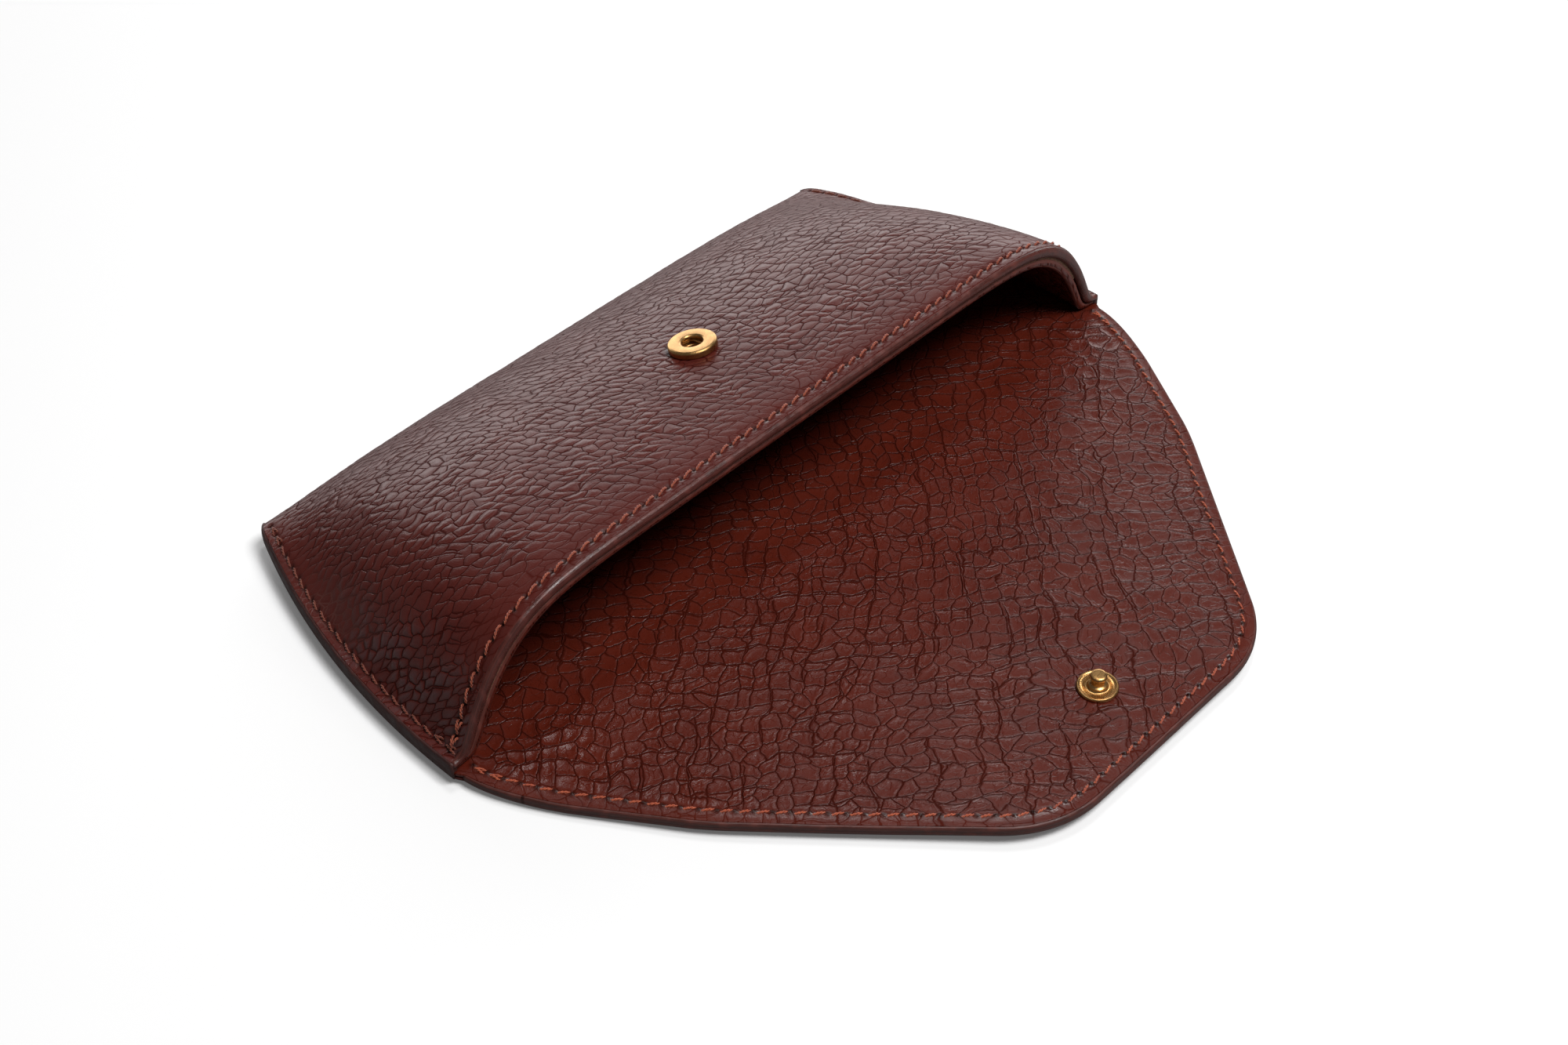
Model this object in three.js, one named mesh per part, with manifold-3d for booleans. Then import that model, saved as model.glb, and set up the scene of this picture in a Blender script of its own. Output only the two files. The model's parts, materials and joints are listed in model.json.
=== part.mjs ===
// A leather eyeglasses case: an envelope pocket with a domed front, and a fold-over flap that
// closes over the mouth with a sprung snap. Millimetres, +Z up. X runs along the mouth, the
// pocket lies towards +Y and the open flap towards -Y. The origin is the middle of the base.
import * as THREE from "three";
import { mergeVertices } from "three/addons/utils/BufferGeometryUtils.js";
import Module from "manifold-3d";

const wasm = await Module();
wasm.setup();

// ---- Driving dimensions -------------------------------------------------------------------

// Pocket, measured from the mouth line.
const MOUTH_Y = 6.5; // places the mouth so that the open case is centred on the origin
const POCKET_DEPTH = 73.5; // mouth to the outside of the bottom fold
const MOUTH_HALF = 92.3; // half the width at the mouth
const SIDE_TAPER = 15; // how much narrower each side is at the bottom fold
const MOUTH_HEIGHT = 31; // outside of the domed front above the table
const FOLD_HEIGHT = 4; // height of the middle of the bottom fold
const FOLD_RUN = 9; // length over which the back curves up into the fold
const CORNER = 1.2; // rounding of the bottom corners, and the length it takes
const CORNER_RUN = 3;
const SHOULDER = 10; // exponent of the dome across its width at the mouth: larger is boxier
const SHOULDER_END = 5; // and at the bottom
const CROWN_START = 1.6; // exponents of the dome from mouth to fold
const CROWN_END = 0.57;

// Thicknesses.
const OUTER = 1.15; // outside leather
const LINING = 1.1; // lining leather
const BOARD = 1.3; // stiffening board in the front
const GLUE = 0.2; // glue line, kept open between pieces
const FLAP_THICK = OUTER + GLUE + LINING;

// Sewn side seams: four skived layers pressed together.
const SEAM_WIDTH = 3;
const SKIVED = 0.8;
const SEAM_LIFT = 0.8; // height of the seam's underside at the mouth
const SEAM_LIFT_END = 2.2; // and at the bottom corners

// Flap, measured from the mouth line.
const FLAP_REACH = 86.5; // mouth line to the tip
const HINGE_SETBACK = 1.9; // the fold lies this far in front of the mouth
const FLAP_TILT = THREE.MathUtils.degToRad(1); // the cap under the tip lifts the open flap
const HINGE_GAP = 0.15; // each leather piece stops this far from a fold line

// Thread rows.
const THREAD_R = 0.3;
const THREAD_INSET = 2.4; // row to leather edge
const THREAD_GAP = 0.12; // row to leather surface

// Snap.
const SNAP_Y = 31; // socket axis behind the mouth
const SOCKET_SEAT = OUTER - 0.3; // the ring is pressed this deep into the front
const SOCKET_TOP = 2.4; // ring height
const STUD_FACE = 0.85; // stud plate above the flap lining
const SNAP_CLEAR = 0.25; // closed gap between stud plate and ring
const WIRE_R = 0.22;
const WIRE_OFFSET = 1.6; // spring wire centre to the snap axis
const WIRE_HEIGHT = 1.22;
const WIRE_LENGTH = 4.8;
const TURN_STEPS = 24;

// ---- Materials ----------------------------------------------------------------------------

const material = (color, roughness, metalness) =>
  new THREE.MeshStandardMaterial({ color, roughness, metalness });
const outerLeather = material(0x4a2422, 0.5, 0);
const liningLeather = material(0x5a2016, 0.45, 0);
const board = material(0x6b4a33, 0.9, 0);
const thread = material(0xb0593a, 0.6, 0);
const brass = material(0xc99a3f, 0.25, 1);

// ---- Solids -------------------------------------------------------------------------------

function toManifold(geometry) {
  const bare = geometry.index ? geometry.toNonIndexed() : geometry.clone();
  bare.deleteAttribute("normal");
  bare.deleteAttribute("uv");
  const merged = mergeVertices(bare, 1e-4);
  return new wasm.Manifold(
    new wasm.Mesh({
      numProp: 3,
      vertProperties: new Float32Array(merged.attributes.position.array),
      triVerts: new Uint32Array(merged.index.array),
    }),
  );
}

function toGeometry(solid) {
  const { numProp, numVert, vertProperties, triVerts } = solid.getMesh();
  const position = new Float32Array(numVert * 3);
  for (let i = 0; i < numVert; i++) {
    position.set(vertProperties.subarray(i * numProp, i * numProp + 3), i * 3);
  }
  const geometry = new THREE.BufferGeometry();
  geometry.setAttribute("position", new THREE.BufferAttribute(position, 3));
  geometry.setIndex(new THREE.BufferAttribute(new Uint32Array(triVerts), 1));
  geometry.computeVertexNormals();
  return geometry;
}

const cut = (geometry, tool) => toGeometry(toManifold(geometry).subtract(toManifold(tool)));
const keep = (geometry, tool) => toGeometry(toManifold(geometry).intersect(toManifold(tool)));

// A round bar along Z, used as a cutting tool.
function drill(radius, length) {
  return new THREE.CylinderGeometry(radius, radius, length, TURN_STEPS).rotateX(Math.PI / 2);
}

// Turned metal: a profile of [radius, height] pairs about Z.
function turned(profile) {
  const points = profile.map(([r, h]) => new THREE.Vector2(r, h));
  return new THREE.LatheGeometry(points, TURN_STEPS).rotateX(Math.PI / 2);
}

// A closed shell between two grids of points that share their rows and columns.
function shell(columns, rows, upper, lower) {
  const position = [];
  const index = [];
  const nc = columns.length;
  const nr = rows.length;
  for (const surface of [upper, lower]) {
    for (const row of rows) for (const column of columns) position.push(...surface(column, row));
  }
  const at = (side, r, c) => side * nr * nc + r * nc + c;
  const quad = (a, b, c, d) => index.push(a, b, c, a, c, d);
  for (let r = 0; r < nr - 1; r++) {
    for (let c = 0; c < nc - 1; c++) {
      quad(at(0, r, c), at(0, r, c + 1), at(0, r + 1, c + 1), at(0, r + 1, c));
      quad(at(1, r, c), at(1, r + 1, c), at(1, r + 1, c + 1), at(1, r, c + 1));
    }
  }
  for (let c = 0; c < nc - 1; c++) {
    quad(at(0, 0, c + 1), at(0, 0, c), at(1, 0, c), at(1, 0, c + 1));
    quad(at(0, nr - 1, c), at(0, nr - 1, c + 1), at(1, nr - 1, c + 1), at(1, nr - 1, c));
  }
  for (let r = 0; r < nr - 1; r++) {
    quad(at(0, r, 0), at(0, r + 1, 0), at(1, r + 1, 0), at(1, r, 0));
    quad(at(0, r + 1, nc - 1), at(0, r, nc - 1), at(1, r, nc - 1), at(1, r + 1, nc - 1));
  }
  const geometry = new THREE.BufferGeometry();
  geometry.setAttribute("position", new THREE.Float32BufferAttribute(position, 3));
  geometry.setIndex(index);
  geometry.computeVertexNormals();
  return geometry;
}

// ---- The pocket's surfaces ----------------------------------------------------------------

const clamp01 = (v) => Math.min(1, Math.max(0, v));

// Half width of the case at y behind the mouth.
function halfWidth(y) {
  const taper = SIDE_TAPER * Math.pow(clamp01(y / POCKET_DEPTH), 2.1);
  const turn = clamp01((y - POCKET_DEPTH + CORNER_RUN) / CORNER_RUN);
  return MOUTH_HALF - taper - CORNER * (1 - Math.sqrt(1 - turn * turn));
}

// Height of the front's middle line at y, for a surface `depth` below the outside.
function crown(y, depth) {
  const u = clamp01(y / (POCKET_DEPTH - depth));
  const rise = Math.pow(1 - Math.pow(u, CROWN_START), CROWN_END);
  return FOLD_HEIGHT + (MOUTH_HEIGHT - depth - FOLD_HEIGHT) * rise;
}

// Height in the seam, `off` above its underside. It rounds in to the fold at the bottom.
function seamHeight(y, depth, off) {
  const u = clamp01(y / POCKET_DEPTH);
  const flat = SEAM_LIFT + (SEAM_LIFT_END - SEAM_LIFT) * u * u + off;
  const gone = 1 - clamp01((POCKET_DEPTH - depth - y) / 4);
  return FOLD_HEIGHT + (flat - FOLD_HEIGHT) * Math.sqrt(1 - gone * gone);
}

// Height of the back's flat middle at y, for a surface `depth` above the underside.
function floorHeight(y, depth) {
  const c = clamp01((y - (POCKET_DEPTH - FOLD_RUN)) / (FOLD_RUN - depth));
  return depth + (FOLD_HEIGHT - depth) * (1 - Math.sqrt(1 - c * c));
}

// Columns run across the case. `t` is the place across the dome and `rim` marks the seam edge.
const DOME_STEPS = [0, 0.3, 0.55, 0.7, 0.79, 0.86, 0.91, 0.95, 0.98, 1];
const domeColumns = [...DOME_STEPS.slice(1).reverse().map((t) => -t), ...DOME_STEPS].map((t) => ({
  t,
  rim: false,
}));
const allColumns = [{ t: -1, rim: true }, ...domeColumns, { t: 1, rim: true }];
const boardColumns = domeColumns.filter(({ t }) => Math.abs(t) < 0.96);
// Rows run from the mouth, 0, to the bottom fold, 1.
const ROWS = [0, 0.08, 0.17, 0.26, 0.35, 0.46, 0.57, 0.68, 0.78, 0.86, 0.92, 0.96, 0.982, 0.995, 1];
const BOARD_END = 0.87;
const LINING_MEETS = 0.96; // past the board, the lining has come up to the outside leather here
const boardRows = ROWS.filter((row) => row < BOARD_END);

// Where a point of the front lies, `depth` below the outside and `off` up the seam. Past the
// end of the stiffening board the depth eases to `endDepth` at the fold.
function frontPoint(depth, off, endDepth = depth) {
  return ({ t, rim }, row) => {
    const ease = THREE.MathUtils.smoothstep(row, BOARD_END, LINING_MEETS);
    const below = depth + (endDepth - depth) * ease;
    const y = (POCKET_DEPTH - below) * row;
    const seam = seamHeight(y, below, off);
    const wall = halfWidth(y) - SEAM_WIDTH - below;
    const shoulder = SHOULDER + (SHOULDER_END - SHOULDER) * clamp01(y / POCKET_DEPTH);
    const dome = seam + (crown(y, below) - seam) * (1 - Math.pow(Math.abs(t), shoulder));
    const x = rim ? t * halfWidth(y) : t * wall;
    return [x, MOUTH_Y + y, rim ? seam : dome];
  };
}

// Where a point of the back lies, `depth` above its underside and `off` up the seam.
function backPoint(depth, off) {
  return ({ t, rim }, row) => {
    const start = HINGE_GAP - HINGE_SETBACK;
    const y = start + (POCKET_DEPTH - depth - start) * row;
    const seam = seamHeight(y, depth, off);
    const flat = floorHeight(y, depth);
    const curl = Math.pow(clamp01((Math.abs(t) - 0.7) / 0.3), 3);
    const x = t * (rim ? halfWidth(y) : halfWidth(y) - SEAM_WIDTH);
    return [x, MOUTH_Y + y, flat + (seam - flat) * curl];
  };
}

// ---- The snap's place and the flap's fold lines, from how the case closes -------------------

const SNAP_STEP = 0.01;
const snapHeight = crown(SNAP_Y, 0);
const snapSlope = Math.atan(
  (crown(SNAP_Y - SNAP_STEP, 0) - crown(SNAP_Y + SNAP_STEP, 0)) / (2 * SNAP_STEP),
);
// Closed, the tongue lies parallel to the snap, this far above the front leather.
const closedGap = SOCKET_TOP - SOCKET_SEAT + SNAP_CLEAR + STUD_FACE;
const snapRun = SNAP_Y + HINGE_SETBACK;
// Length of the rise, which stands across the mouth, from the base fold to the top fold.
const riseLength =
  snapHeight - FLAP_THICK + (closedGap + snapRun * Math.sin(snapSlope)) / Math.cos(snapSlope);
// Stud axis beyond the top fold.
const studRun =
  snapRun * Math.cos(snapSlope) +
  (FLAP_THICK + riseLength - snapHeight) * Math.sin(snapSlope);

// ---- Pocket pieces ------------------------------------------------------------------------

const LAYER = SKIVED + GLUE; // one layer of the seam stack
const boardDepth = OUTER + GLUE;
const liningDepth = boardDepth + BOARD + GLUE;

// Places a geometry on the snap axis, standing on the front leather.
function placeAtSnap(object) {
  object.rotation.x = -snapSlope;
  object.position.set(
    0,
    MOUTH_Y + SNAP_Y - SOCKET_SEAT * Math.sin(snapSlope),
    snapHeight - SOCKET_SEAT * Math.cos(snapSlope),
  );
  object.updateMatrix();
  return object;
}
const snapDrill = (radius, length) =>
  drill(radius, length).applyMatrix4(placeAtSnap(new THREE.Object3D()).matrix);

const RIVET_HOLE = 2.45;
const RING_HOLE = 5.3;

const named = (name, geometry, finish) => {
  const mesh = new THREE.Mesh(geometry, finish);
  mesh.name = name;
  return mesh;
};

// A sheet is one grid from the mouth over the dome, round the bottom fold and along the back.
const SHEET_ROWS = [...ROWS, ...ROWS.slice(0, -1).reverse().map((row) => 2 - row)];
const wrapped = (front, back) => (column, row) =>
  row <= 1 ? front(column, row) : back(column, 2 - row);

// The outside leather ends at the base fold.
function outerSheet() {
  const outside = wrapped(frontPoint(0, 4 * LAYER), backPoint(0, 0));
  const inside = wrapped(frontPoint(OUTER, 3 * LAYER), backPoint(OUTER, SKIVED));
  return cut(shell(allColumns, SHEET_ROWS, outside, inside), snapDrill(RING_HOLE, 20));
}

// So does the lining, inside it.
function liningSheet() {
  const start = OUTER + GLUE;
  const end = FLAP_THICK;
  const outside = wrapped(
    frontPoint(liningDepth, 3 * LAYER - GLUE, start),
    backPoint(start, LAYER),
  );
  const inside = wrapped(
    frontPoint(liningDepth + LINING, 2 * LAYER, end),
    backPoint(end, LAYER + SKIVED),
  );
  return cut(shell(allColumns, SHEET_ROWS, outside, inside), snapDrill(RIVET_HOLE, 20));
}

// The board between them shapes the front and stops short of the seams and the fold.
function frontBoard() {
  const board = shell(
    boardColumns,
    boardRows,
    frontPoint(boardDepth, 3 * LAYER - 0.02),
    frontPoint(boardDepth + BOARD, 3 * LAYER - 0.1),
  );
  return cut(board, snapDrill(RIVET_HOLE, 20));
}

function leatherPieces() {
  return [
    named("pocket_outer", outerSheet(), outerLeather),
    named("pocket_lining", liningSheet(), liningLeather),
    named("front_stiffener", frontBoard(), board),
  ];
}

// A row of thread as one round bar along a curve.
function threadRow(points, steps) {
  const section = new THREE.Shape();
  section.absarc(0, 0, THREAD_R, 0, 2 * Math.PI);
  const curve = new THREE.CatmullRomCurve3(points.map((p) => new THREE.Vector3(...p)));
  return new THREE.ExtrudeGeometry(section, {
    extrudePath: curve,
    steps,
    curveSegments: 4,
  });
}

// The side seam's row, on top of the four layers.
function seamThread(side) {
  const points = [];
  for (let y = 3; y <= POCKET_DEPTH - 4; y += 5) {
    const z = seamHeight(y, 0, 4 * LAYER) + THREAD_GAP + THREAD_R;
    points.push([side * (halfWidth(y) - 0.55 * SEAM_WIDTH), MOUTH_Y + y, z]);
  }
  return threadRow(points, 30);
}

// The row along the mouth's edge, over the arch.
function mouthThread() {
  const surface = frontPoint(0, 4 * LAYER);
  const row = THREAD_INSET / POCKET_DEPTH;
  const height = THREAD_GAP + THREAD_R;
  const last = 0.985;
  const steps = 28;
  const points = [];
  for (let i = 0; i <= steps; i++) {
    const across = (2 * i) / steps - 1;
    const t = last * Math.sign(across) * Math.pow(Math.abs(across), 0.6);
    const [x, y, z] = surface({ t, rim: false }, row);
    const [xa, , za] = surface({ t: t - 0.002, rim: false }, row);
    const [xb, , zb] = surface({ t: t + 0.002, rim: false }, row);
    const length = Math.hypot(xb - xa, zb - za);
    points.push([x - ((zb - za) / length) * height, y, z + ((xb - xa) / length) * height]);
  }
  return threadRow(points, 60);
}

function threadPieces() {
  return [
    named("seam_thread_left", seamThread(-1), thread),
    named("seam_thread_right", seamThread(1), thread),
    named("mouth_thread", mouthThread(), thread),
  ];
}

// The snap's female half: a ring with two spring wires, held by a rivet from inside.
function socketPieces() {
  const ring = turned([
    [2.45, 0.05],
    [4.2, 0.05],
    [4.4, 0.25],
    [4.4, 0.5],
    [4.8, 0.75],
    [5.0, 1.0],
    [5.0, 1.95],
    [4.75, 2.27],
    [4.4, SOCKET_TOP],
    [2.7, SOCKET_TOP],
    [2.3, 2.27],
    [2.15, 2.0],
    [2.15, 1.65],
    [3.2, 1.65],
    [3.2, 0.8],
    [3.1, 0.65],
    [3.1, 0.3],
    [2.45, 0.3],
    [2.45, 0.05],
  ]);
  const head = SOCKET_SEAT - liningDepth - LINING - 0.15;
  const rivet = turned([
    [0, head - 0.6],
    [4.3, head - 0.6],
    [4.6, head - 0.4],
    [4.6, head - 0.1],
    [4.4, head],
    [2.3, head],
    [2.3, 0.35],
    [2.9, 0.35],
    [2.9, 0.48],
    [2.25, 0.55],
    [1.85, 0.4],
    [1.85, head - 0.1],
    [0, head - 0.1],
  ]);
  const wire = new THREE.CylinderGeometry(WIRE_R, WIRE_R, WIRE_LENGTH, 8);
  const left = named("socket_spring_left", wire, brass);
  const right = named("socket_spring_right", wire, brass);
  left.position.set(-WIRE_OFFSET, 0, WIRE_HEIGHT);
  right.position.set(WIRE_OFFSET, 0, WIRE_HEIGHT);
  const group = placeAtSnap(new THREE.Group());
  group.add(named("socket_ring", ring, brass), left, right, named("socket_rivet", rivet, brass));
  return group;
}

// ---- Flap pieces, in the flap's own frame: the base fold is y = 0, the lining's face z = 0 ---

// The flap's outline: straight sides that bend in at the top fold, and a blunt round tip.
function flapOutline() {
  const mouth = HINGE_SETBACK; // from the mouth line to the base fold
  const outline = new THREE.Shape();
  outline.moveTo(-91.2, 0);
  outline.quadraticCurveTo(-90.6, -8.5 + mouth, -83.4, -20.5 + mouth);
  outline.lineTo(-72.6, -37.2 + mouth);
  outline.quadraticCurveTo(-70.4, -40.6 + mouth, -66.6, -45 + mouth);
  outline.lineTo(-37.8, -78.2 + mouth);
  outline.quadraticCurveTo(-30.6, -FLAP_REACH + mouth, -19.5, -FLAP_REACH + mouth);
  outline.lineTo(19.5, -FLAP_REACH + mouth);
  outline.quadraticCurveTo(30.6, -FLAP_REACH + mouth, 37.8, -78.2 + mouth);
  outline.lineTo(66.6, -45 + mouth);
  outline.quadraticCurveTo(70.4, -40.6 + mouth, 72.6, -37.2 + mouth);
  outline.lineTo(83.4, -20.5 + mouth);
  outline.quadraticCurveTo(90.6, -8.5 + mouth, 91.2, 0);
  return outline;
}

const outline = flapOutline();
const studY = -(riseLength + studRun);

// One leather layer of the flap, kept between two distances from the base fold.
function flapLayer(top, thickness, from, to) {
  const sheet = new THREE.ExtrudeGeometry(outline, {
    depth: thickness,
    bevelEnabled: false,
    curveSegments: 6,
  }).translate(0, 0, top - thickness);
  const span = new THREE.BoxGeometry(400, to - from, 20).translate(0, -(from + to) / 2, 0);
  return keep(sheet, span);
}

// The outline's points, moved in to the thread row and put above the lining.
function flapThreadPoints() {
  const height = THREAD_GAP + THREAD_R;
  const points = outline.getSpacedPoints(140);
  return points
    .map((p, i) => {
      const before = points[Math.max(i - 1, 0)];
      const after = points[Math.min(i + 1, points.length - 1)];
      const run = after.clone().sub(before).normalize();
      return [p.x - run.y * THREAD_INSET, p.y + run.x * THREAD_INSET, height];
    })
    .filter(([, y]) => y < -0.8);
}

function flapPieces() {
  const near = HINGE_GAP;
  const fold = riseLength;
  const end = FLAP_REACH;
  const studHole = drill(1.1, 20).translate(0, studY, 0);
  const outerTop = -LINING - GLUE;
  const rise = [
    named("rise_outer", flapLayer(outerTop, OUTER, near, fold - near), outerLeather),
    named("rise_lining", flapLayer(0, LINING, near, fold - near), liningLeather),
  ];
  const tongue = [
    named(
      "tongue_outer",
      cut(flapLayer(outerTop, OUTER, fold + near, end), studHole),
      outerLeather,
    ),
    named(
      "tongue_lining",
      cut(flapLayer(0, LINING, fold + near, end), studHole),
      liningLeather,
    ),
  ];
  const row = flapThreadPoints();
  const onRise = ([, y]) => y > -fold + 0.6;
  const onTongue = ([, y]) => y < -fold - 0.6;
  const left = row.filter((p) => p[0] < 0 && onRise(p));
  const right = row.filter((p) => p[0] > 0 && onRise(p));
  return [
    ...rise,
    named("rise_thread_left", threadRow(left, 14), thread),
    named("rise_thread_right", threadRow(right, 14), thread),
    ...tongue,
    named("tongue_thread", threadRow(row.filter(onTongue), 70), thread),
    ...studPieces(),
  ];
}

// The snap's male half: a stud on the lining, held by a capped pin from outside.
function studPieces() {
  const neck = STUD_FACE + 0.55;
  const tip = STUD_FACE + 2.8;
  const stud = turned([
    [0, 3.2],
    [0.8, 3.1],
    [1.0, 2.7],
    [1.0, 0.05],
    [3.5, 0.05],
    [3.9, 0.3],
    [3.9, 0.7],
    [3.65, STUD_FACE],
    [3.4, STUD_FACE],
    [3.2, 0.65],
    [2.1, 0.65],
    [1.85, STUD_FACE],
    [1.75, 1.15],
    [1.3, neck],
    [1.25, tip - 1.15],
    [1.6, tip - 0.85],
    [1.6, tip - 0.4],
    [1.3, tip - 0.05],
    [0, tip],
  ]);
  const under = -FLAP_THICK;
  const cap = turned([
    [0, under - 1.1],
    [3.0, under - 1.1],
    [4.4, under - 0.95],
    [5.0, under - 0.55],
    [5.0, under - 0.25],
    [4.8, under - 0.1],
    [0.85, under - 0.1],
    [0.85, 2.9],
    [0, 2.9],
  ]);
  return [named("snap_stud", stud, brass), named("stud_cap", cap, brass)].map((mesh) => {
    mesh.position.y = studY;
    return mesh;
  });
}

// ---- The case -----------------------------------------------------------------------------

const flap = new THREE.Group();
flap.position.set(0, MOUTH_Y - HINGE_SETBACK, FLAP_THICK);
flap.rotation.x = -FLAP_TILT;
flap.add(...flapPieces());

const glassesCase = new THREE.Group();
glassesCase.add(...leatherPieces(), ...threadPieces(), socketPieces(), flap);

export default glassesCase;
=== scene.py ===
"""The looks of a leather eyeglasses case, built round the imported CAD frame.

Shapes are worked out in millimetres, in the frame's axes: X along the mouth, -Y towards the
flap's tip, +Z up. mesh_object() writes them in metres. Along the case, `run` is the distance
behind the mouth line, so it is negative on the flap.
"""

import json
import math

import bpy
import numpy as np
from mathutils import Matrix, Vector


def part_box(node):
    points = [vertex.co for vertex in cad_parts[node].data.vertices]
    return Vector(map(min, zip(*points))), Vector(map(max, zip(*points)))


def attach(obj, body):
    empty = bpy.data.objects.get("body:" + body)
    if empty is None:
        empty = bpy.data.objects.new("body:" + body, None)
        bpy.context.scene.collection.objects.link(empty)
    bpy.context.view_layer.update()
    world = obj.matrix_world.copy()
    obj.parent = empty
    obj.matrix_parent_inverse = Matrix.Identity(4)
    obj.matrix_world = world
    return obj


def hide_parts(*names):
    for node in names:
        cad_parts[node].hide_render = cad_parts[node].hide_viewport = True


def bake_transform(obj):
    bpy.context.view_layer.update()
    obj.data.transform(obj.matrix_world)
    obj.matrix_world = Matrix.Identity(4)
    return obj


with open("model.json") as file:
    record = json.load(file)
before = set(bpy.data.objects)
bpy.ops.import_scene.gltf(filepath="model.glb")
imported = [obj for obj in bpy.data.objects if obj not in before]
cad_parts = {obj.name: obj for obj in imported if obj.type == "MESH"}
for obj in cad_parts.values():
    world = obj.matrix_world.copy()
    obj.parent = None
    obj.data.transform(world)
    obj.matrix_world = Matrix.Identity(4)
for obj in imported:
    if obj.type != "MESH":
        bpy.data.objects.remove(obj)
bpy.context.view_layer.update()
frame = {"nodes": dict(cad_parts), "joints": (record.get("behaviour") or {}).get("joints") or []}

# ---- Driving dimensions, from the frame ----------------------------------------------------

MM = 0.001


def cad_box(node):
    """Lowest and highest corner of a CAD node, in millimetres."""
    low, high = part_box(node)
    return np.array(low) / MM, np.array(high) / MM


joints = {joint["name"]: joint for joint in frame["joints"]}
BASE_FOLD = np.array(joints["base_fold"]["pos_m"]) / MM
MOUTH_Y = cad_box("front_stiffener")[0][1]
MOUTH_HALF = cad_box("pocket_outer")[1][0]
MOUTH_HEIGHT = 31.0
DEPTH = cad_box("pocket_outer")[1][1] - MOUTH_Y
FLAP_THICK = BASE_FOLD[2]
SETBACK = MOUTH_Y - BASE_FOLD[1]
REACH = 86.5
TILT = math.radians(1)
SNAP_SLOPE = math.radians(joints["top_fold"]["range_deg"][1] - 90)

# ---- Dimensions shared with the CAD part ---------------------------------------------------

SIDE_TAPER = 15.0
CORNER = 1.9
CORNER_RUN = 3.6
FOLD_HEIGHT = 4.0
FOLD_RUN = 9.0
SHOULDER = 10.0
SHOULDER_END = 5.0
CROWN_START = 1.6
CROWN_END = 0.57
OUTER = 1.15
LINING = 1.1
BOARD = 1.3
GLUE = 0.2
SEAM_WIDTH = 3.0
SKIVED = 0.8
LAYER = SKIVED + GLUE
SEAM_LIFT = 0.8
SEAM_LIFT_END = 2.2
LINING_DEPTH = OUTER + GLUE + BOARD + GLUE
SNAP_RUN = 31.0

# ---- Dimensions of the finish --------------------------------------------------------------

EDGE_SET = 0.3  # leather stops this far inside the outline, and the edge paint covers it
STITCH = 3.2  # hole to hole
SEAM_INSET = 1.8  # stitch rows to their edges
MOUTH_INSET = 2.3
FLAP_INSET = 2.4
THREAD_R = 0.25
SLANT = 0.26  # sideways lean of a stitch at each end
GROOVE = 0.22  # depth that the stitches pull the leather in
GROOVE_HALF = 0.75
HOLE_DEPTH = 0.62
HOLE_R = 0.42
WALL = 12.0  # leather on each side of the dome that stands up as its wall
WALL_INSET = 2.4  # the dome's wall stands this far inside the outline
WALL_SOFT = 3.4  # roundness where the wall meets the seam
SEAM_BLEND = 18.0  # length of flap over which the seam's lift dies away
RELIEF_OUTER = 0.14  # height of the grain on each leather
RELIEF_LINING = 0.32
SHEET_SPLIT = MOUTH_Y - 13.0  # where the sheet's pieces meet, half-way up the rise


def smooth(value, low, high):
    """0 below low, 1 above high, with a smooth step between."""
    t = np.clip((value - low) / (high - low), 0, 1)
    return t * t * (3 - 2 * t)


def excess(value, limit):
    """How far a distance is beyond the limit, on either side."""
    return np.maximum(np.abs(value) - limit, 0)


def unit(vectors):
    length = np.linalg.norm(vectors, axis=-1, keepdims=True)
    return vectors / np.maximum(length, 1e-9)


# ---- Node graphs, used by both the materials and the relief --------------------------------


class Graph:
    """Adds nodes to a shader or geometry node tree."""

    def __init__(self, tree):
        self.tree = tree

    def node(self, kind, inputs=None, **settings):
        made = self.tree.nodes.new(kind)
        for key, value in settings.items():
            setattr(made, key, value)
        for key, value in (inputs or {}).items():
            self.feed(made.inputs[key], value)
        return made

    def feed(self, socket, value):
        if isinstance(value, bpy.types.NodeSocket):
            self.tree.links.new(value, socket)
        else:
            socket.default_value = value

    def math(self, operation, a, b=0.0, clamp=False):
        made = self.node("ShaderNodeMath", {0: a, 1: b}, operation=operation, use_clamp=clamp)
        return made.outputs[0]

    def spread(self, value, low, high, to_low=0.0, to_high=1.0):
        made = self.node(
            "ShaderNodeMapRange",
            {"Value": value, 1: low, 2: high, 3: to_low, 4: to_high},
            interpolation_type="SMOOTHSTEP",
        )
        return made.outputs["Result"]

    def scaled(self, vector, x, y, z=1.0):
        made = self.node("ShaderNodeVectorMath", {0: vector, 1: (x, y, z)}, operation="MULTIPLY")
        return made.outputs["Vector"]

    def cells(self, vector, scale, randomness=0.9):
        """Distance to the nearest crease between cells."""
        made = self.node(
            "ShaderNodeTexVoronoi",
            {"Vector": vector, "Scale": scale, "Randomness": randomness},
            voronoi_dimensions="2D",
            feature="DISTANCE_TO_EDGE",
        )
        return made.outputs["Distance"]

    def noise(self, vector, scale, detail=2.0, roughness=0.5, space="2D", output=0):
        made = self.node(
            "ShaderNodeTexNoise",
            {"Vector": vector, "Scale": scale, "Detail": detail, "Roughness": roughness},
            noise_dimensions=space,
        )
        return made.outputs[output]

    def blend(self, factor, a, b, blend_type="MIX"):
        """Mixes two colours."""
        made = self.node("ShaderNodeMix", data_type="RGBA", blend_type=blend_type)
        self.feed(made.inputs[0], factor)
        self.feed(made.inputs[6], a)
        self.feed(made.inputs[7], b)
        return made.outputs[2]


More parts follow.
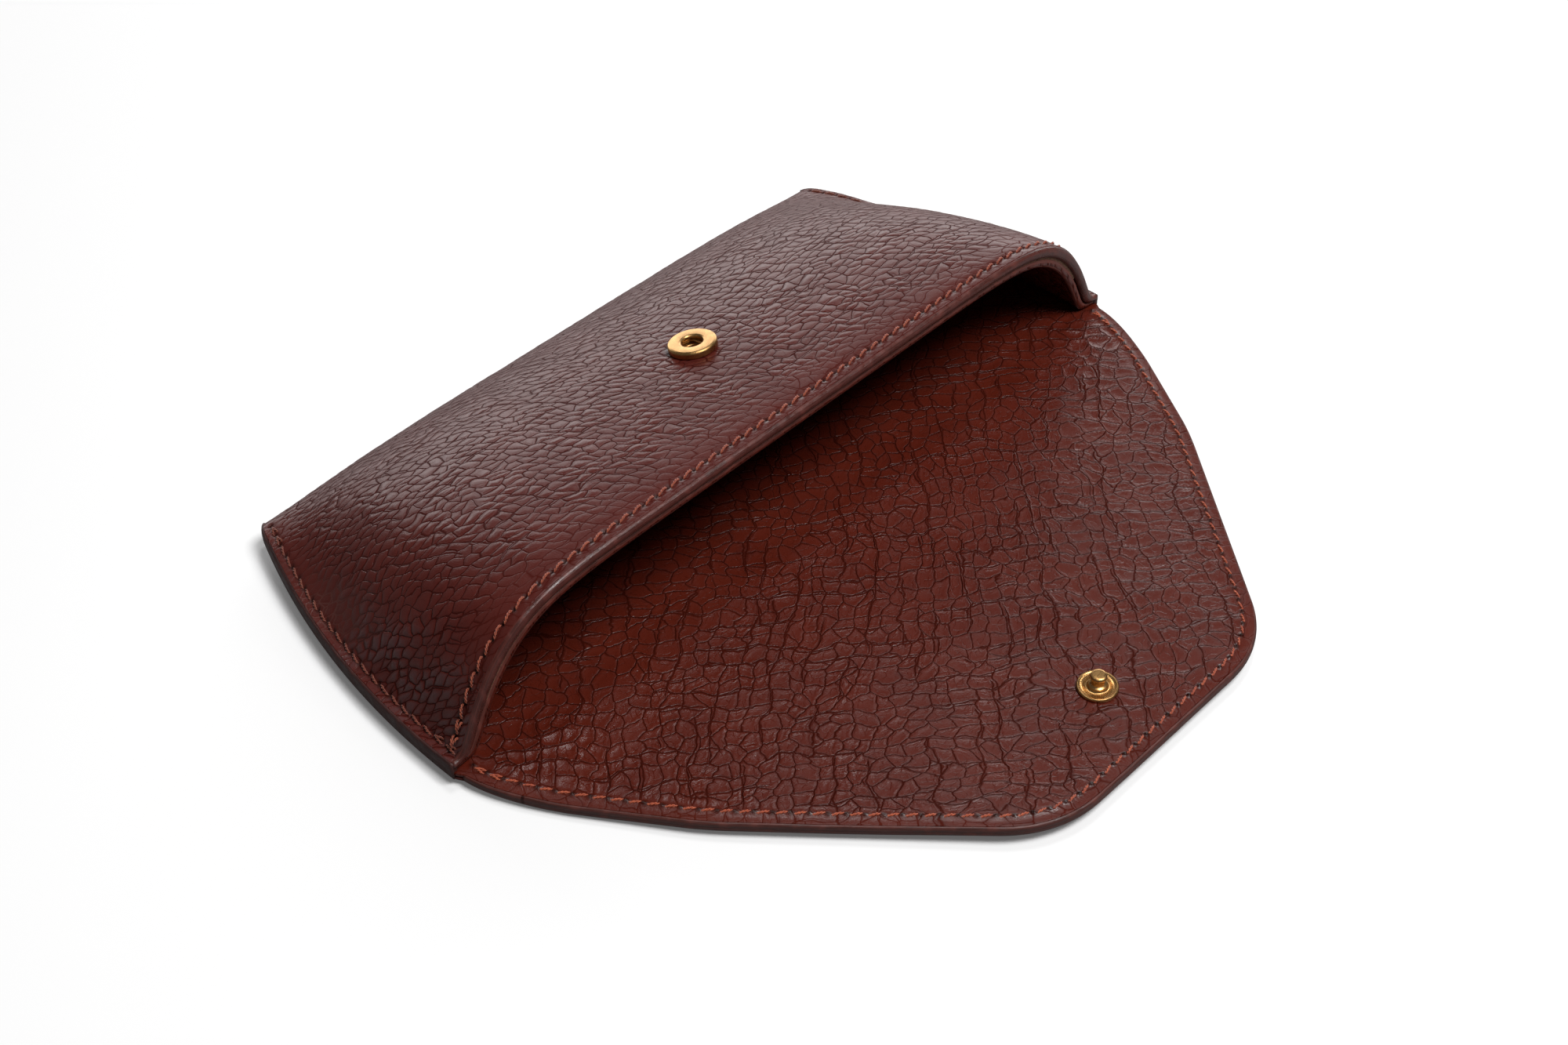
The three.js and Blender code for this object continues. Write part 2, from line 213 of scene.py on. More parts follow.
def lattice(graph, vector, wide, tall, lean):
    """Coordinates of a lattice of diamonds, wide by tall millimetres, leaning by an angle."""
    c, t = math.cos(lean), math.sin(lean)
    first = (c / wide - t / tall, t / wide + c / tall, 0)
    second = (c / wide + t / tall, t / wide - c / tall, 0)
    parts = []
    for row in (first, second):
        made = graph.node("ShaderNodeVectorMath", {0: vector, 1: row}, operation="DOT_PRODUCT")
        parts.append(made.outputs["Value"])
    return graph.node("ShaderNodeCombineXYZ", {0: parts[0], 1: parts[1]}).outputs[0]


def wobble(graph, vector, scale, amount):
    """Moves coordinates about by a noise, so that creases wander."""
    noise = graph.noise(vector, scale, output="Color")
    centred = graph.node("ShaderNodeVectorMath", {0: noise, 1: (0.5, 0.5, 0.5)}, operation="SUBTRACT")
    sized = graph.node("ShaderNodeVectorMath", {0: centred.outputs[0]}, operation="SCALE")
    sized.inputs["Scale"].default_value = amount
    return graph.node("ShaderNodeVectorMath", {0: vector, 1: sized.outputs[0]}).outputs[0]


def pillow(graph, distance, width, power):
    """A plump rise from each crease: 0 in the crease, 1 from `width` on."""
    share = graph.math("DIVIDE", distance, width, clamp=True)
    left = graph.math("SUBTRACT", 1.0, share)
    return graph.math("SUBTRACT", 1.0, graph.math("POWER", left, power))


def crease(graph, distance, width, power=1.6):
    """1 along a crease, falling to 0 at `width` from it."""
    share = graph.math("DIVIDE", distance, width, clamp=True)
    return graph.math("POWER", graph.math("SUBTRACT", 1.0, share), power)


def lip(graph, distance, place, width):
    """1 on the rim of a crease, `place` away from its middle."""
    gap = graph.math("ABSOLUTE", graph.math("SUBTRACT", distance, place))
    return graph.spread(gap, 0.0, width, 1.0, 0.0)


def network(graph, grid, randomness, share):
    """Distance to the nearest crease between plates, and how close a long deep one is, 0 to 1."""
    distance = graph.cells(grid, 1.0, randomness)
    apart = graph.node("ShaderNodeSeparateXYZ", {0: grid})
    near = 0.0
    for axis in (0, 1):
        place = graph.math("FRACT", graph.math("ADD", apart.outputs[axis], 0.5 - randomness / 2))
        gap = graph.math("SUBTRACT", 0.5, graph.math("ABSOLUTE", graph.math("SUBTRACT", place, 0.5)))
        stretched = graph.scaled(grid, 0.8, 0.12) if axis == 0 else graph.scaled(grid, 0.12, 0.8)
        depth = graph.spread(graph.noise(stretched, 1.0, 1.0), share, share + 0.05)
        valley = graph.math("MULTIPLY", crease(graph, gap, 0.34, 1.0), depth)
        shallow = graph.math("MULTIPLY", graph.math("SUBTRACT", 1.0, depth), 0.6)
        distance = graph.math("MINIMUM", distance, graph.math("ADD", gap, shallow))
        near = graph.math("MAXIMUM", valley, near)
    return distance, near


def outer_grain(graph, grain):
    """Pebbles of the outside leather, as (broad swelling, sharp creases, their rims)."""
    place = wobble(graph, grain, 0.12, 3.6)
    place = wobble(graph, place, 1.1, 0.25)
    distance, near = network(graph, lattice(graph, place, 4.7, 2.5, -0.5), 0.66, 0.55)
    small = graph.cells(lattice(graph, place, 2.2, 1.7, -0.5), 1.0, 1.0)
    swell = graph.spread(graph.noise(grain, 0.13), 0.35, 0.68, 0.5, 1.0)
    broad = graph.math("MULTIPLY", pillow(graph, distance, 0.36, 1.8), swell)
    broad = graph.math("MULTIPLY", broad, graph.math("SUBTRACT", 1.0, graph.math("MULTIPLY", near, 0.3)))
    width = graph.spread(graph.noise(grain, 0.4), 0.3, 0.7, 0.08, 0.13)
    here = graph.spread(graph.noise(grain, 0.5), 0.42, 0.6)
    fine = graph.math("MULTIPLY", graph.math("MULTIPLY", crease(graph, small, 0.12), here), 0.22)
    sharp = graph.math("MAXIMUM", crease(graph, distance, width), fine)
    rim = graph.math("MULTIPLY", lip(graph, distance, 0.1, 0.06), swell)
    return broad, sharp, rim


def lining_grain(graph, grain):
    """Flat plates of the lining, as (broad swelling, sharp creases, their rims)."""
    place = wobble(graph, grain, 0.11, 4.6)
    place = wobble(graph, place, 0.9, 0.5)
    distance, near = network(graph, lattice(graph, place, 4.9, 4.4, 0.04), 0.72, 0.52)
    small = graph.cells(lattice(graph, place, 2.2, 1.9, 0.3), 1.0, 1.0)
    swell = graph.spread(graph.noise(grain, 0.1), 0.35, 0.65, 0.6, 1.0)
    sink = graph.math("SUBTRACT", 1.0, graph.math("MULTIPLY", near, 0.5))
    broad = graph.math("MULTIPLY", graph.math("MULTIPLY", pillow(graph, distance, 0.36, 1.9), swell), sink)
    width = graph.spread(graph.noise(grain, 0.33), 0.35, 0.65, 0.045, 0.08)
    width = graph.math("ADD", width, graph.math("MULTIPLY", near, 0.02))
    here = graph.spread(graph.noise(grain, 0.45), 0.42, 0.56)
    fine = graph.math("MULTIPLY", graph.math("MULTIPLY", crease(graph, small, 0.09), here), 0.45)
    sharp = graph.math("MAXIMUM", crease(graph, distance, width), fine)
    rim = graph.math("MULTIPLY", lip(graph, distance, 0.1, 0.05), near)
    return broad, sharp, rim


def sample(pattern, grain):
    """The height of a grain pattern at each grain coordinate, so meshes match materials."""
    flat = grain.reshape(-1, 3)
    mesh = bpy.data.meshes.new("grain_points")
    mesh.vertices.add(len(flat))
    mesh.vertices.foreach_set("co", flat.astype(np.float32).ravel())
    points = bpy.data.objects.new("grain_points", mesh)
    bpy.context.collection.objects.link(points)
    tree = bpy.data.node_groups.new("grain_sampler", "GeometryNodeTree")
    tree.interface.new_socket("Geometry", in_out="INPUT", socket_type="NodeSocketGeometry")
    tree.interface.new_socket("Geometry", in_out="OUTPUT", socket_type="NodeSocketGeometry")
    graph = Graph(tree)
    start = graph.node("NodeGroupInput")
    place = graph.node("GeometryNodeInputPosition")
    height = pattern(graph, place.outputs[0])[0]
    store = graph.node(
        "GeometryNodeStoreNamedAttribute",
        {"Geometry": start.outputs[0], "Name": "height", "Value": height},
        data_type="FLOAT",
        domain="POINT",
    )
    end = graph.node("NodeGroupOutput")
    tree.links.new(store.outputs[0], end.inputs[0])
    points.modifiers.new("sampler", "NODES").node_group = tree
    found = points.evaluated_get(bpy.context.evaluated_depsgraph_get()).data
    values = np.empty(len(flat), np.float32)
    found.attributes["height"].data.foreach_get("value", values)
    bpy.data.objects.remove(points)
    bpy.data.meshes.remove(mesh)
    bpy.data.node_groups.remove(tree)
    return values.reshape(grain.shape[:-1]).astype(float)


# ---- Meshes ---------------------------------------------------------------------------------


def mesh_object(name, points, faces, material, attributes=None, normals=None):
    """A piece from points in millimetres."""
    mesh = bpy.data.meshes.new(name)
    mesh.from_pydata((np.asarray(points) * MM).tolist(), [], faces)
    mesh.update()
    mesh.polygons.foreach_set("use_smooth", [True] * len(mesh.polygons))
    for key, values in (attributes or {}).items():
        vector = np.ndim(values) == 2
        made = mesh.attributes.new(key, "FLOAT_VECTOR" if vector else "FLOAT", "POINT")
        made.data.foreach_set("vector" if vector else "value", np.asarray(values, np.float32).ravel())
    mesh.materials.append(material)
    if normals is not None:
        mesh.normals_split_custom_set_from_vertices(normals.tolist())
    piece = bpy.data.objects.new(name, mesh)
    bpy.context.collection.objects.link(piece)
    return piece


def grid_normals(grid):
    """Normals of a grid of points, from rows crossed with columns."""
    across = np.gradient(grid, axis=1)
    along = np.gradient(grid, axis=0)
    return unit(np.cross(across, along))


def ring_places(rows, cols):
    """Row and column of each point round a grid's border."""
    places = [(0, c) for c in range(cols)]
    places += [(r, cols - 1) for r in range(1, rows)]
    places += [(rows - 1, c) for c in range(cols - 2, -1, -1)]
    places += [(r, 0) for r in range(rows - 2, 0, -1)]
    return places


def steps_to(last, step):
    """0, step, 2 step and so on, ending at last."""
    stops = list(range(0, last, step))
    if len(stops) > 1 and last - stops[-1] < step / 2:
        stops.pop()
    return stops + [last]


def layer_faces(rows, cols, rings, coarse_rows, coarse_cols, flip):
    """Faces of a closed layer: a fine face, a rounded rim of rings and a coarser back."""
    place = ring_places(rows, cols)
    count = len(place)
    faces = []
    for r in range(rows - 1):
        for c in range(cols - 1):
            a = r * cols + c
            faces.append((a, a + 1, a + cols + 1, a + cols))
    first = rows * cols
    ring_id = [[r * cols + c for r, c in place]]
    for k in range(rings):
        ring_id.append([first + k * count + i for i in range(count)])
    for upper, lower in zip(ring_id, ring_id[1:]):
        for i in range(count):
            j = (i + 1) % count
            faces.append((upper[i], lower[i], lower[j], upper[j]))
    border = {spot: ring_id[-1][i] for i, spot in enumerate(place)}
    next_id = first + rings * count
    inner = {}
    for r in coarse_rows[1:-1]:
        for c in coarse_cols[1:-1]:
            inner[(r, c)] = next_id
            next_id += 1
    for r0, r1 in zip(coarse_rows, coarse_rows[1:]):
        for c0, c1 in zip(coarse_cols, coarse_cols[1:]):
            walk = [(r0, c) for c in (range(c0, c1) if r0 == 0 else [c0])]
            walk += [(r, c1) for r in (range(r0, r1) if c1 == cols - 1 else [r0])]
            walk += [(r1, c) for c in (range(c1, c0, -1) if r1 == rows - 1 else [c1])]
            walk += [(r, c0) for r in (range(r1, r0, -1) if c0 == 0 else [r1])]
            loop = [border[spot] if spot in border else inner[spot] for spot in walk]
            faces.append(tuple(reversed(loop)))
    return [tuple(reversed(f)) for f in faces] if flip else faces


RIM = [(0.1, 0.1), (0.28, 0.2), (0.5, 0.24), (0.72, 0.2), (0.9, 0.1), (1.0, 0.0)]


def layer_piece(name, face, back, material, step, attributes, flip=False):
    """A closed layer of leather. face and back are grids of points that share rows and columns."""
    rows, cols = face.shape[:2]
    place = ring_places(rows, cols)
    r = np.array([spot[0] for spot in place])
    c = np.array([spot[1] for spot in place])
    outward = unit(face[r, c] - face[np.clip(r, 1, rows - 2), np.clip(c, 1, cols - 2)])
    points = [face.reshape(-1, 3)]
    for share, bulge in RIM:
        points.append(face[r, c] + (back[r, c] - face[r, c]) * share + outward * bulge)
    coarse_rows = steps_to(rows - 1, step[0])
    coarse_cols = steps_to(cols - 1, step[1])
    inner_r, inner_c = np.meshgrid(coarse_rows[1:-1], coarse_cols[1:-1], indexing="ij")
    inner_r, inner_c = inner_r.ravel(), inner_c.ravel()
    points.append(back[inner_r, inner_c])
    faces = layer_faces(rows, cols, len(RIM), coarse_rows, coarse_cols, flip)
    spread = {}
    for key, values in attributes.items():
        flat = values.reshape(rows * cols, -1)
        rim = values[r, c].reshape(len(place), -1)
        rest = values[inner_r, inner_c].reshape(len(inner_r), -1)
        joined = np.concatenate([flat] + [rim] * len(RIM) + [rest])
        spread[key] = joined if joined.shape[1] == 3 else joined[:, 0]
    points = np.concatenate(points)
    normals = np.zeros_like(points)
    surface = grid_normals(face).reshape(-1, 3)
    normals[: rows * cols] = -surface if flip else surface
    return mesh_object(name, points, faces, material, spread, normals)


def tube_grid(sections):
    """Points and faces of a closed tube, from an array of sections by points round each."""
    count, sides = sections.shape[:2]
    faces = []
    for i in range(count - 1):
        for j in range(sides):
            k = (j + 1) % sides
            faces.append((i * sides + j, i * sides + k, (i + 1) * sides + k, (i + 1) * sides + j))
    faces.append(tuple(range(sides - 1, -1, -1)))
    faces.append(tuple((count - 1) * sides + j for j in range(sides)))
    return sections.reshape(-1, 3), faces


def merge_parts(parts):
    """Joins lists of (points, faces) into one."""
    points, faces, start = [], [], 0
    for part_points, part_faces in parts:
        points.append(part_points)
        faces += [tuple(start + i for i in face) for face in part_faces]
        start += len(part_points)
    return np.concatenate(points), faces


# ---- The case's surfaces --------------------------------------------------------------------


def half_width(run):
    """Half the pocket's width at each run."""
    turn = np.clip((run - DEPTH + CORNER_RUN) / CORNER_RUN, 0, 1)
    taper = SIDE_TAPER * np.clip(run / DEPTH, 0, 1) ** 2.1
    return MOUTH_HALF - taper - CORNER * (1 - np.sqrt(1 - turn**2))


def crown(run, depth):
    """Height of the front's middle line, for a surface `depth` below the outside."""
    share = np.clip(run / (DEPTH - depth), 0, 1)
    return FOLD_HEIGHT + (MOUTH_HEIGHT - depth - FOLD_HEIGHT) * (1 - share**CROWN_START) ** CROWN_END


def seam_height(run, depth, off):
    """Height in the sewn seam, `off` above its underside."""
    share = np.clip(run / DEPTH, 0, 1)
    flat = SEAM_LIFT + (SEAM_LIFT_END - SEAM_LIFT) * share**2 + off
    gone = 1 - np.clip((DEPTH - depth - run) / 4, 0, 1)
    return FOLD_HEIGHT + (flat - FOLD_HEIGHT) * np.sqrt(1 - gone**2)


def floor_height(run, depth):
    """Height of the back's flat middle, `depth` above the underside."""
    share = np.clip((run - DEPTH + FOLD_RUN) / (FOLD_RUN - depth), 0, 1)
    return depth + (FOLD_HEIGHT - depth) * (1 - np.sqrt(1 - share**2))


def even_runs(depth, count):
    """Distances behind the mouth, evenly spaced along the front's middle line."""
    share = np.linspace(0, 1, 4000)
    run = (DEPTH - depth) * (1 - (1 - share) ** 2.6)
    arc = np.concatenate([[0], np.cumsum(np.hypot(np.diff(run), np.diff(crown(run, depth))))])
    even = np.linspace(0, arc[-1], count)
    return np.interp(even, arc, run), even


def front_grid(rows, cols, depth, off):
    """The domed front: points, and distances across and along the leather, all on one grid."""
    runs, along = even_runs(depth, rows)
    places = np.linspace(-1, 1, cols)
    grid = np.empty((rows, cols, 3))
    across = np.empty((rows, cols))
    for i, run in enumerate(runs):
        edge = half_width(run) - EDGE_SET
        x = edge * (1 - (1 - np.linspace(0, 1, 900)) ** 1.7)
        wall = half_width(run) - WALL_INSET - depth
        seam = seam_height(run, depth, off)
        rise = crown(run, depth) - seam
        shoulder = SHOULDER + (SHOULDER_END - SHOULDER) * run / DEPTH
        dome = rise * (1 - (x / wall) ** shoulder)
        soft = WALL_SOFT * min(1, rise / 9)
        z = seam + (dome + np.sqrt(dome**2 + soft**2)) / 2 - soft**2 / (4 * max(rise, 1e-3) + 4 * soft)
        arc = np.concatenate([[0], np.cumsum(np.hypot(np.diff(x), np.diff(z)))])
        wanted = np.abs(places) * arc[-1]
        grid[i, :, 0] = np.sign(places) * np.interp(wanted, arc, x)
        grid[i, :, 1] = MOUTH_Y + run
        grid[i, :, 2] = np.interp(wanted, arc, z)
        across[i] = places * arc[-1]
    return grid, across, np.repeat(along[:, None], cols, axis=1)


def arc_points(start, control, end, count):
    """Points of a quadratic curve."""
    t = np.linspace(0, 1, count)[:, None]
    start, control, end = (np.array(p, float) for p in (start, control, end))
    return (1 - t) ** 2 * start + 2 * t * (1 - t) * control + t**2 * end


def flap_outline(inset):
    """The right half of the flap's outline as (x, run), from the base fold to the tip."""
    path = np.concatenate(
        [
            arc_points((91.2, -SETBACK), (90.6, -8.5), (83.4, -20.5), 40),
            arc_points((83.4, -20.5), (78, -28.85), (72.6, -37.2), 30)[1:],
            arc_points((72.6, -37.2), (70.4, -40.6), (66.6, -45), 14)[1:],
            arc_points((66.6, -45), (52.2, -61.6), (37.8, -78.2), 50)[1:],
            arc_points((37.8, -78.2), (30.6, -REACH), (19.5, -REACH), 40)[1:],
            arc_points((19.5, -REACH), (10, -REACH), (0, -REACH), 30)[1:],
        ]
    )
    run = unit(np.gradient(path, axis=0))
    return path + np.stack([run[:, 1], -run[:, 0]], axis=1) * inset


def base_half(run, inset):
    """Half width of the back and flap at each run, `inset` inside the outline."""
    path = flap_outline(inset)
    corner = np.argmax(path[:, 1] <= -REACH + inset + 1e-6)
    flap = np.interp(-run, -path[: corner + 1, 1], path[: corner + 1, 0])
    pocket = half_width(run) - inset
    return pocket + (flap - pocket) * smooth(-run, 0, 2.5)


def seam_share(x, run):
    """0 on the flat of the sheet and 1 in the seam at its sides."""
    t = np.abs(x) / (base_half(run, 0) - SEAM_WIDTH)
    return np.clip((t - 0.7) / 0.3, 0, 1) ** 3


def sheet_height(x, run, depth, off):
    """Height of a surface of the back and flap, `depth` above the underside in the flat."""
    lift = smooth(-run, 0, SEAM_BLEND)
    in_seam = seam_height(run, depth, off) * (1 - lift) + depth * lift
    flat = floor_height(run, depth)
    share = seam_share(x, run)
    tilt = math.tan(TILT) * np.maximum(-SETBACK - run, 0)
    ripple = 0.16 * np.sin(x / 15 + 1) * np.sin(run / 11) + 0.1 * np.sin(x / 8.3) * np.sin(run / 17)
    free = smooth(-run, 4, 30)
    return flat + (in_seam - flat) * share + tilt + ripple * free


def sheet_grid(runs, cols, depth, off):
    """A surface of the back and flap: points, and distances across and along the leather."""
    half = base_half(runs, EDGE_SET)[:, None]
    x = np.linspace(-1, 1, cols)[None, :] * half
    run = np.repeat(runs[:, None], cols, axis=1)
    z = sheet_height(x, run, depth, off)
    return np.stack([x, MOUTH_Y + run, z], axis=-1), x, run


# ---- Stitch rows ----------------------------------------------------------------------------


def even_path(path, pitch):
    """Points along a path, a whole number of pitches apart."""
    arc = np.concatenate([[0], np.cumsum(np.linalg.norm(np.diff(path, axis=0), axis=1))])
    count = max(2, int(round(arc[-1] / pitch)) + 1)
    wanted = np.linspace(0, arc[-1], count)
    return np.stack([np.interp(wanted, arc, path[:, k]) for k in range(path.shape[1])], axis=1)


def seam_row(side):
    """Stitch holes of a side seam, from the mouth corner to the bottom corner."""
    run = np.linspace(0.6, DEPTH - 3.2, 200)
    x = side * (half_width(run) - SEAM_INSET)
    return even_path(np.stack([x, run], axis=1), STITCH)


def flap_row():
    """Stitch holes round the flap, from the left mouth corner to the right."""
    right = flap_outline(FLAP_INSET)
    right = right[right[:, 1] < -1.5]
    left = right * np.array([-1, 1])
    return even_path(np.concatenate([left, right[::-1][1:]]), STITCH)


def lookup(grid, across, along, wanted):
    """Points and normals of a grid surface at wanted (across, along) places."""
    normals = grid_normals(grid)
    rows = np.interp(wanted[:, 1], along[:, 0], np.arange(len(grid)))
    found, facing = [], []
    for (u, _), row in zip(wanted, rows):
        r0 = min(int(row), len(grid) - 2)
        share = row - r0
        line = across[r0] * (1 - share) + across[r0 + 1] * share
        col = np.interp(u, line, np.arange(grid.shape[1]))
        c0 = min(int(col), grid.shape[1] - 2)
        part = col - c0
        for source, out in ((grid, found), (normals, facing)):
            near = source[r0, c0] * (1 - part) + source[r0, c0 + 1] * part
            far = source[r0 + 1, c0] * (1 - part) + source[r0 + 1, c0 + 1] * part
            out.append(near * (1 - share) + far * share)
    return np.array(found), unit(np.array(facing))


def nearest(points, targets):
    """Distance from each point to the nearest target."""
    flat = points.reshape(-1, 3).astype(np.float32)
    targets = targets.astype(np.float32)
    result = np.empty(len(flat), np.float32)
    for start in range(0, len(flat), 20000):
        part = flat[start : start + 20000]
        gap = ((part[:, None, :] - targets[None, :, :]) ** 2).sum(-1)
        result[start : start + 20000] = np.sqrt(gap.min(1))
    return result.reshape(points.shape[:-1]).astype(float)


def pull_in(grid, holes_list):
    """Depth of the stitch groove and a 0 to 1 mask of the holes, on a grid."""
    depth = np.zeros(grid.shape[:-1])
    dark = np.zeros(grid.shape[:-1])
    for holes in holes_list:
        fine = even_path(holes, 0.8)
        row = nearest(grid, fine)
        hole = nearest(grid, holes)
        depth = np.maximum(depth, GROOVE * np.exp(-((row / GROOVE_HALF) ** 2)))
        depth = np.maximum(depth, HOLE_DEPTH * np.exp(-((hole / HOLE_R) ** 2)))
        dark = np.maximum(dark, np.exp(-((hole / 0.5) ** 2)))
    return depth, dark


def strand(path, side, up, radius, turns, phase):
    """One ply of a twisted thread along a path."""
    count = len(path)
    ends = np.sin(np.linspace(0, np.pi, count)) ** 0.25
    angle = np.linspace(0, 2 * np.pi * turns, count) + phase
    offset = radius * 0.52
    centre = path + side * (np.cos(angle) * offset)[:, None] + up * (np.sin(angle) * offset)[:, None]
    ahead = unit(np.gradient(centre, axis=0))
    sideways = unit(np.cross(ahead, up))
    upward = np.cross(sideways, ahead)
    around = np.linspace(2 * np.pi, 0, 7)[:-1]
    ring = sideways[:, None, :] * np.cos(around)[None, :, None]
    ring = ring + upward[:, None, :] * np.sin(around)[None, :, None]
    size = (radius * 0.62 * (0.35 + 0.65 * ends))[:, None, None]
    return tube_grid(centre[:, None, :] + ring * size)


def stitch(start, end, up, slant, turns=2.2):
    """One stitch from hole to hole: two plies that rise out of the leather and dip back in."""
    ahead = unit(end - start)
    side = unit(np.cross(ahead, up))
    length = np.linalg.norm(end - start)
    t = np.linspace(0, 1, 15)
    lift = 0.34 * np.sin(np.pi * t) ** 0.55 - 0.42 * (1 - np.sin(np.pi * t) ** 0.35)
    sway = slant * np.cos(np.pi * t)
    reach = 0.16 + (length - 0.32) * t
    path = start + ahead * reach[:, None] + up * lift[:, None] + side * sway[:, None]
    sides = np.repeat(side[None, :], len(t), axis=0)
    ups = np.repeat(up[None, :], len(t), axis=0)
    return [strand(path, sides, ups, THREAD_R, turns, phase) for phase in (0, np.pi)]


def stitch_row(points, normals, slant, doubled=()):
    """Parts of every stitch in a row. `doubled` stitches have a second one beside them."""
    parts = []
    for i in range(len(points) - 1):
        up = unit(normals[i] + normals[i + 1])
        parts += stitch(points[i], points[i + 1], up, slant)
        if i in doubled or i - len(points) + 1 in doubled:
            beside = unit(np.cross(points[i + 1] - points[i], up)) * 0.5
            parts += stitch(points[i] + beside, points[i + 1] + beside * 0.6, up, -slant)
    return parts


# ---- Materials ------------------------------------------------------------------------------


def new_material(name, base, roughness, metallic=0.0):
    """A material, its node graph and its shader."""
    material = bpy.data.materials.new(name)
    material.use_nodes = True
    graph = Graph(material.node_tree)
    shader = material.node_tree.nodes["Principled BSDF"]
    shader.inputs["Base Color"].default_value = (*base, 1)
    shader.inputs["Roughness"].default_value = roughness
    shader.inputs["Metallic"].default_value = metallic
    return material, graph, shader


def attribute(graph, name, output="Vector"):
    """Values stored on the mesh, which bend and move with it."""
    return graph.node("ShaderNodeAttribute", attribute_name=name).outputs[output]


def object_place(graph):
    """Places on a piece, in millimetres."""
    return graph.scaled(graph.node("ShaderNodeTexCoord").outputs["Object"], 1 / MM, 1 / MM, 1 / MM)


def bump(graph, shader, layers):
    """Stacks bump layers of (height, distance in millimetres, strength)."""
    normal = None
    for height, distance, strength in layers:
        inputs = {"Height": height, "Distance": distance * MM, "Strength": strength}
        if normal is not None:
            inputs["Normal"] = normal
        normal = graph.node("ShaderNodeBump", inputs).outputs["Normal"]
    graph.feed(shader.inputs["Normal"], normal)


HOLE_PAINTED_SHADE = (0.006, 0.003, 0.002, 1)
PAINTED_RIDGE_HIGHLIGHT = (0.26, 0.12, 0.1, 1)
PAINTED_SHEEN_GREY = (0.09, 0.044, 0.046, 1)


def leather(name, pattern, valley, top, light, roughness, shine, relief):
    """Grained leather: creases hold more dye and also take painted shade; the tops are polished by
    handling.

    On the dome's walls the plates near the mouth are given a painted grey sheen, whose attribute
    also swells their relief, and further back the creases stand up as ridges with painted pale
    highlights (attribute `ridge`). `calm` lessens the grain and `hole` paints the stitch holes dark
    as painted shade. relief is (swelling, creases, rims) in mm.
    """
    material, graph, shader = new_material(name, top, roughness)
    grain = attribute(graph, "grain")
    broad, sharp, rim = pattern(graph, grain)
    mottle = graph.noise(grain, 0.07, 4.0, 0.6)
    pores = graph.noise(grain, 3.2, 3.0, 0.6)
    fine = graph.cells(grain, 2.4, 1.0)
    calm = graph.math("SUBTRACT", 1.0, attribute(graph, "calm", "Fac"))
    # Dye and painted shade: the low parts of the grain take the darker valley colour.
    body = graph.blend(graph.spread(broad, 0.0, 0.6), (*valley, 1), (*top, 1))
    body = graph.blend(graph.spread(mottle, 0.4, 0.68, 0.0, 0.55), body, (*light, 1))
    # Painted sheen: near the mouth the wall's plates are tinted grey, standing in for light reflected from
    # them.
    painted_sheen_zone = attribute(graph, "painted_sheen_zone", "Fac")
    plates = graph.math("MULTIPLY", graph.spread(broad, 0.3, 0.95), painted_sheen_zone)
    body = graph.blend(graph.math("MULTIPLY", plates, 0.62), body, PAINTED_SHEEN_GREY)
    # The creases are painted darker still, partly for the dye they hold and partly as painted shade.
    dark = tuple(0.42 * part for part in valley)
    ridge = attribute(graph, "ridge", "Fac")
    seen = graph.math("MULTIPLY", graph.math("MULTIPLY", sharp, calm), 0.85)
    seen = graph.math("MULTIPLY", seen, graph.math("SUBTRACT", 1.0, ridge))
    body = graph.blend(seen, body, (*dark, 1))
    # Painted highlight: on the walls the creases are raised and painted pale, standing in for light caught
    # along them.
    raised = graph.math("MULTIPLY", graph.math("MULTIPLY", sharp, calm), ridge)
    body = graph.blend(graph.math("MULTIPLY", raised, 0.5), body, PAINTED_RIDGE_HIGHLIGHT)
    # Painted shade: the stitch holes are painted near black.
    hole = attribute(graph, "hole", "Fac")
    body = graph.blend(hole, body, HOLE_PAINTED_SHADE)
    graph.feed(shader.inputs["Base Color"], body)
    dull = graph.spread(broad, 0.1, 0.8, roughness + 0.12, roughness)
    rough = graph.math("ADD", dull, graph.math("MULTIPLY", pores, 0.1))
    worn = graph.math("MULTIPLY", rim, -0.1)
    graph.feed(shader.inputs["Roughness"], graph.math("ADD", rough, graph.math("ADD", worn, -0.05)))
    dip = graph.math("MULTIPLY", graph.math("MULTIPLY", sharp, 1.5, clamp=True), -0.9 * shine)
    dip = graph.math("MULTIPLY", dip, graph.math("SUBTRACT", 1.0, graph.math("MULTIPLY", ridge, 2.0)))
    graph.feed(shader.inputs["Specular IOR Level"], graph.math("ADD", dip, shine))
    swollen = graph.math("ADD", graph.math("MULTIPLY", painted_sheen_zone, 2.0), 1.0)
    shaped = graph.math("MULTIPLY", graph.math("MULTIPLY", broad, calm), swollen)
    turned = graph.math("SUBTRACT", graph.math("MULTIPLY", ridge, 3.2), 1.0)
    cut = graph.math("MULTIPLY", graph.math("MULTIPLY", sharp, calm), turned)
    bump(
        graph,
        shader,
        [
            (shaped, relief[0], 1.0),
            (cut, relief[1], 1.0),
            (graph.math("MULTIPLY", rim, calm), relief[2], 1.0),
            (graph.spread(fine, 0.0, 0.25), 0.008, 0.7),
            (pores, 0.012, 0.6),
        ],
    )
    return material


